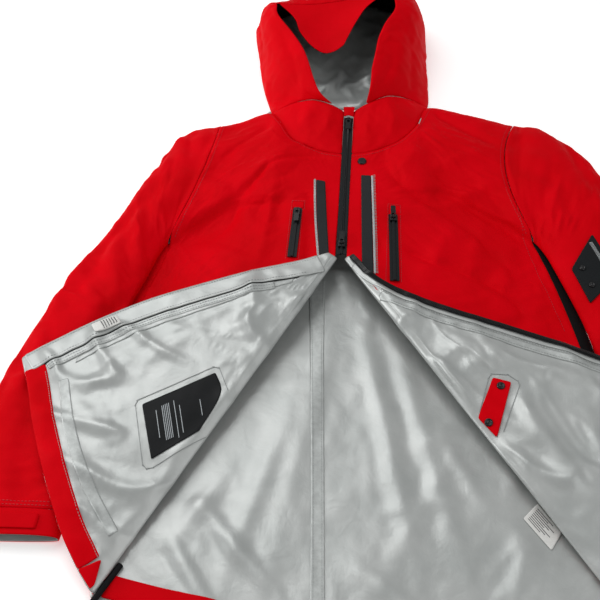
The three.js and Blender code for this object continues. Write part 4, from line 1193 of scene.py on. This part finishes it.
stitchRows = {
    "stormFlapStitching": ("right", [inward(rz, 4, "right", 0.05, 0.985, 60),
                                     inward(rz, 24, "right", 0.1, 0.985, 60)], 1.9),
    "rightFacingStitching": ("right", [inward(rh, 25, "right", 0.12, 1, 40)], 1.6),
    "rightTapeStitching": ("right", [inward(rz, 33, "right", 0.2, 0.95, 60),
                                     inward(rz, 37, "right", 0.2, 0.95, 60)], 1.1),
    "leftTapeStitching": ("left", [inward(lz, 15, "left", 0.12, 0.98, 60),
                                   inward(lz, 24, "left", 0.2, 0.98, 60)], 1.1),
}
onFlap("leftLowerZipTape", "left", inward(lz, 0.5, "left", 0.03, 0.99), inward(lz, 13, "left", 0.03, 0.99),
       membrane, "zip_tape", ("left_lower_zip_tape",), 0.6, 0.6)
onFlap("leftSeamFilm", "left", inward(lz, 16, "left", 0.16, 0.99), inward(lz, 27, "left", 0.16, 0.99),
       seamFilm, "seam_tape", (), 0.5, 0.4)
onFlap("leftCoilBed", "left", inward(lz, 0.3, "left", 0.0, 0.995), inward(lz, 7.6, "left", 0.0, 0.995),
       coatedTape, "zip_tape", ("left_lower_zip_coil",), 2.3, 1.2, 3.0)
onFlap("leftHemFacing", "left", inward(lh, 0.5, "left", 0.1, 1),
       inward(lh, sizes["hemBand"], "left", 0.1, 1), shellNylon, "red_laminate", ("left_hem_facing",), 0.6,
       0.8)
onFlap("leftHemCorner", "left", [(361, -483), (334, -525)], [(336, -471), (330, -519)], shellNylon,
       "red_laminate", (), 0.6, 0.8)
onFlap("innerTab", "left", [(195, -246), (176, -300)], [(217, -252), (197, -326)], shellNylon,
       "red_laminate", ("inner_tab",), 1.0, 1.0)
teeth = alongCloth("leftFlap", inward(lz, 4.0, "left", 0.005, 0.99, 60), 1.9, 3.7)
blockRun("leftCoilTeeth", teeth, (5.8, 1.1, 0.9), acetal, "left_flap", "zip_tape")
for name, (side, lines, lift) in stitchRows.items():
    stitch(name, side + "Flap", lines, greyThread, side + "_flap", "silver_membrane", 3.6, lift,
           (0.6, 2.2, 0.4))
for name, side, corners in (("labelWeld", "right", [(-150, -346), (-205, -393), (-212, -395), (-217, -390),
                                                    (-238, -313), (-236, -306),
                                                 (-150, -251), (-143, -252), (-129, -282)]),
                            ("tabWeld", "left", [(178, -292), (190, -246), (194, -240), (214, -241),
                                                 (226, -250), (227, -256), (205, -318)])):
    spots = []
    for p, q in zip(corners, corners[1:]):
        spots += alongCloth(side + "Flap", [p, q], 3.0, 0.5)
    blockRun(name, spots, (0.8, 3.4, 0.5), greyThread, side + "_flap", "seam_tape")


# A piece is made upright at the origin, then stood on its place facing along a direction.
def standing(place, direction):
    return Matrix.Translation(place) @ direction.to_track_quat("Z", "Y").to_matrix().to_4x4()


def snapCap(name, host, x, y, radius, height, lift, body, node):
    place, normal = under(host, x, y)
    bm = bmesh.new()
    profile = [(0, 0), (radius, 0), (radius, height * 0.5), (radius * 0.86, height), (radius * 0.62, height),
               (radius * 0.55, height * 0.6), (radius * 0.3, height * 0.6), (radius * 0.22, height * 0.85),
               (0, height * 0.85)]
    verts = [bm.verts.new((r * mm, 0, h * mm)) for r, h in profile]
    edges = [bm.edges.new(pair) for pair in zip(verts, verts[1:])]
    bmesh.ops.spin(bm, geom=verts + edges, cent=(0, 0, 0), axis=(0, 0, 1), steps=28, angle=math.tau,
                   use_merge=True)
    bmesh.ops.remove_doubles(bm, verts=bm.verts, dist=0.00001)
    bmesh.ops.recalc_face_normals(bm, faces=bm.faces)
    bmesh.ops.transform(bm, matrix=standing(place + normal * (lift * mm), normal), verts=bm.verts)
    return placed(finished(bm, name, acetal), body, "snap_plastic", node)


snapCap("innerSnapUpper", "leftFlap", 204, -258, 5.2, 2.2, 1.8, "left_flap", "inner_snap_upper")
snapCap("innerSnapLower", "leftFlap", 188, -307, 5.2, 2.2, 1.8, "left_flap", "inner_snap_lower")
print("lower front trims done")

# back trims
hem = [(p[0], p[1] + 3) for p in [(-240, -546)] + back["hem"][1:6] + [(318, -542)]]
hugStrip("backHemFacing", "back", hem, [(p[0], p[1] + sizes["hemBand"]) for p in hem], shellNylon, 4, 0.7,
         0.8, "shell", "red_laminate", ("back_hem_facing",))
hugStrip("backSeamTape", "back", [(-20, -70), (-15, -200), (-4, -400), (4, -545)],
         [(-42, -70), (-33, -200), (-20, -400), (-12, -545)], seamFilm, 4, 0.4, 0.4, "shell", "seam_tape",
         ("back_seam_tape",))
stitch("backTapeEdges", "back", [[(-23, -70), (-18, -200), (-7, -400), (1, -545)],
       [(-39, -70), (-30, -200), (-17, -400), (-9, -545)]], greyThread, "shell", "seam_tape", 3.4, 0.9,
       (0.5, 2.6, 0.3))
hugStrip("careLabel", "back", [(225, -417), (254, -455)], [(244, -396), (268, -432)], satin, 4, 1.0, 0.4,
         "shell", "white_label", ("care_label",))


# Plain bars and dots stand for print on the labels; they spell nothing.
def printBars(name, host, corner, along, across, rows, material, body, slotName, lift, thick=0.7):
    spots = []
    for start, end, line in rows:
        a = Vector(corner) + Vector(across) * line + Vector(along) * start
        b = Vector(corner) + Vector(across) * line + Vector(along) * end
        spots += alongCloth(host, [a, b], 1.6, lift)
    return blockRun(name, spots, (thick, 1.7, 0.25), material, body, slotName)


printBars("careLabelPrint", "back", (227, -417), (27, -36), (17, 19),
          [(0.08, 0.5 + 0.4 * ((k * 7) % 3) / 3, 0.12 + k * 0.1)
          for k in range(8)], inkDark, "shell", "white_label", 1.6)
printBars("stormLabelPrint", "rightFlap", (-314, -199), (9, -15), (30, 17),
          [(0.15, 0.85, 0.36 + k * 0.1) for k in range(6)], inkDark, "right_flap", "white_label", 3.6, 1.0)
printBars("innerLabelPrint", "rightFlap", (-222, -316), (17, -62), (66, 42),
          [(0.14, 0.7, 0.12), (0.1, 0.86, 0.42), (0.24, 0.8, 0.5), (0.3, 0.62, 0.84)]
          + [(0.1, 0.8, 0.22 + 0.028 * k) for k in range(5)], inkPale, "right_flap", "black_label", 1.5, 0.8)
print("back trims done")

# hem cord in its channel mouth
cordPath = [foldPoint("right", t, -7, 0) for t in (1.02, 0.99, 0.96, 0.92)]
cordLine = edgeLine([(p.x, p.y, sizes["cloth"] + sizes["seat"] + sizes["cord"]) for p in cordPath])
bm = bmesh.new()
bmesh.ops.create_circle(bm, segments=14, radius=sizes["cord"] * mm)
steps = 20
loopEdges = bm.edges[:]
bmesh.ops.transform(bm, matrix=standing(cordLine(0) * mm, cordLine(0.05) - cordLine(0)), verts=bm.verts)
for k in range(1, steps + 1):
    grown = bmesh.ops.extrude_edge_only(bm, edges=loopEdges)["geom"]
    loopEdges = [g for g in grown if isinstance(g, bmesh.types.BMEdge) and all(v in grown for v in g.verts)]
    fresh = [g for g in grown if isinstance(g, bmesh.types.BMVert)]
    bmesh.ops.translate(bm, verts=fresh, vec=(cordLine(k / steps) - cordLine((k - 1) / steps)) * mm)
bmesh.ops.holes_fill(bm, edges=bm.edges, sides=20)
bmesh.ops.recalc_face_normals(bm, faces=bm.faces)
placed(finished(bm, "hemCord", braid), "shell", "elastic_cord", "hem_cord")


# sleeve badge, cuffs and tabs
def sleeveStrip(name, side, host, t0, t1, a0, a1, material, lift, thickness, body, slotName, nodes=(),
                pitch=14):
    bm = bmesh.new()
    bmesh.ops.create_grid(bm, x_segments=pitch, y_segments=pitch, size=0.5)
    for vert in bm.verts:
        p = sleevePoint(side, t0 + (t1 - t0) * (vert.co.x + 0.5), a0 + (a1 - a0) * (vert.co.y + 0.5))
        place, normal = under(host, p.x, p.y)
        vert.co = place + normal * (lift * mm)
    piece = finished(bm, name, material, None, (0, 0, 1))
    wall(piece, thickness, False, 1.0)
    return placed(piece, body, slotName, *nodes)


sleeveStrip("sleeveBadge", "left", "leftSleeve", 0.35, 0.475, 1.62, 2.45, badgeFelt, 0.6, 1.4, "shell",
            "black_trim", ("sleeve_badge",))
for side in ("right", "left"):
    sleeveStrip(side + "CuffTab", side, side + "Cuff", 0.945, 0.985, 1.0, 2.1, shellNylon, 0.7, 1.2,
                side + "_cuff_tab", "red_laminate", (side + "_cuff_tab",), 8)
    rows = [[sleevePoint(side, t, 0.25 + 2.6 * k / 16)[:2] for k in range(17)] for t in (0.912, 0.922)]
    stitch(side + "CuffStitching", side + "Sleeve", rows, redThread)
for name, t in (("badgeButtonUpper", 0.382), ("badgeButtonLower", 0.44)):
    p = sleevePoint("left", t, 2.2)
    snapCap(name, "leftSleeve", p.x, p.y, 4.2, 1.8, 2.1, "shell", "badge_button_" + name[11:].lower())
ringRow = [sleevePoint("left", 0.36 + 0.105 * k / 12, 1.75)[:2] for k in range(13)]
blockRun("badgeTeeth", alongCloth("leftSleeve", ringRow, 2.2, 2.2), (5.0, 1.0, 0.8), glassBead, "shell",
         "black_trim")
print("trims done")

low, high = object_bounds()
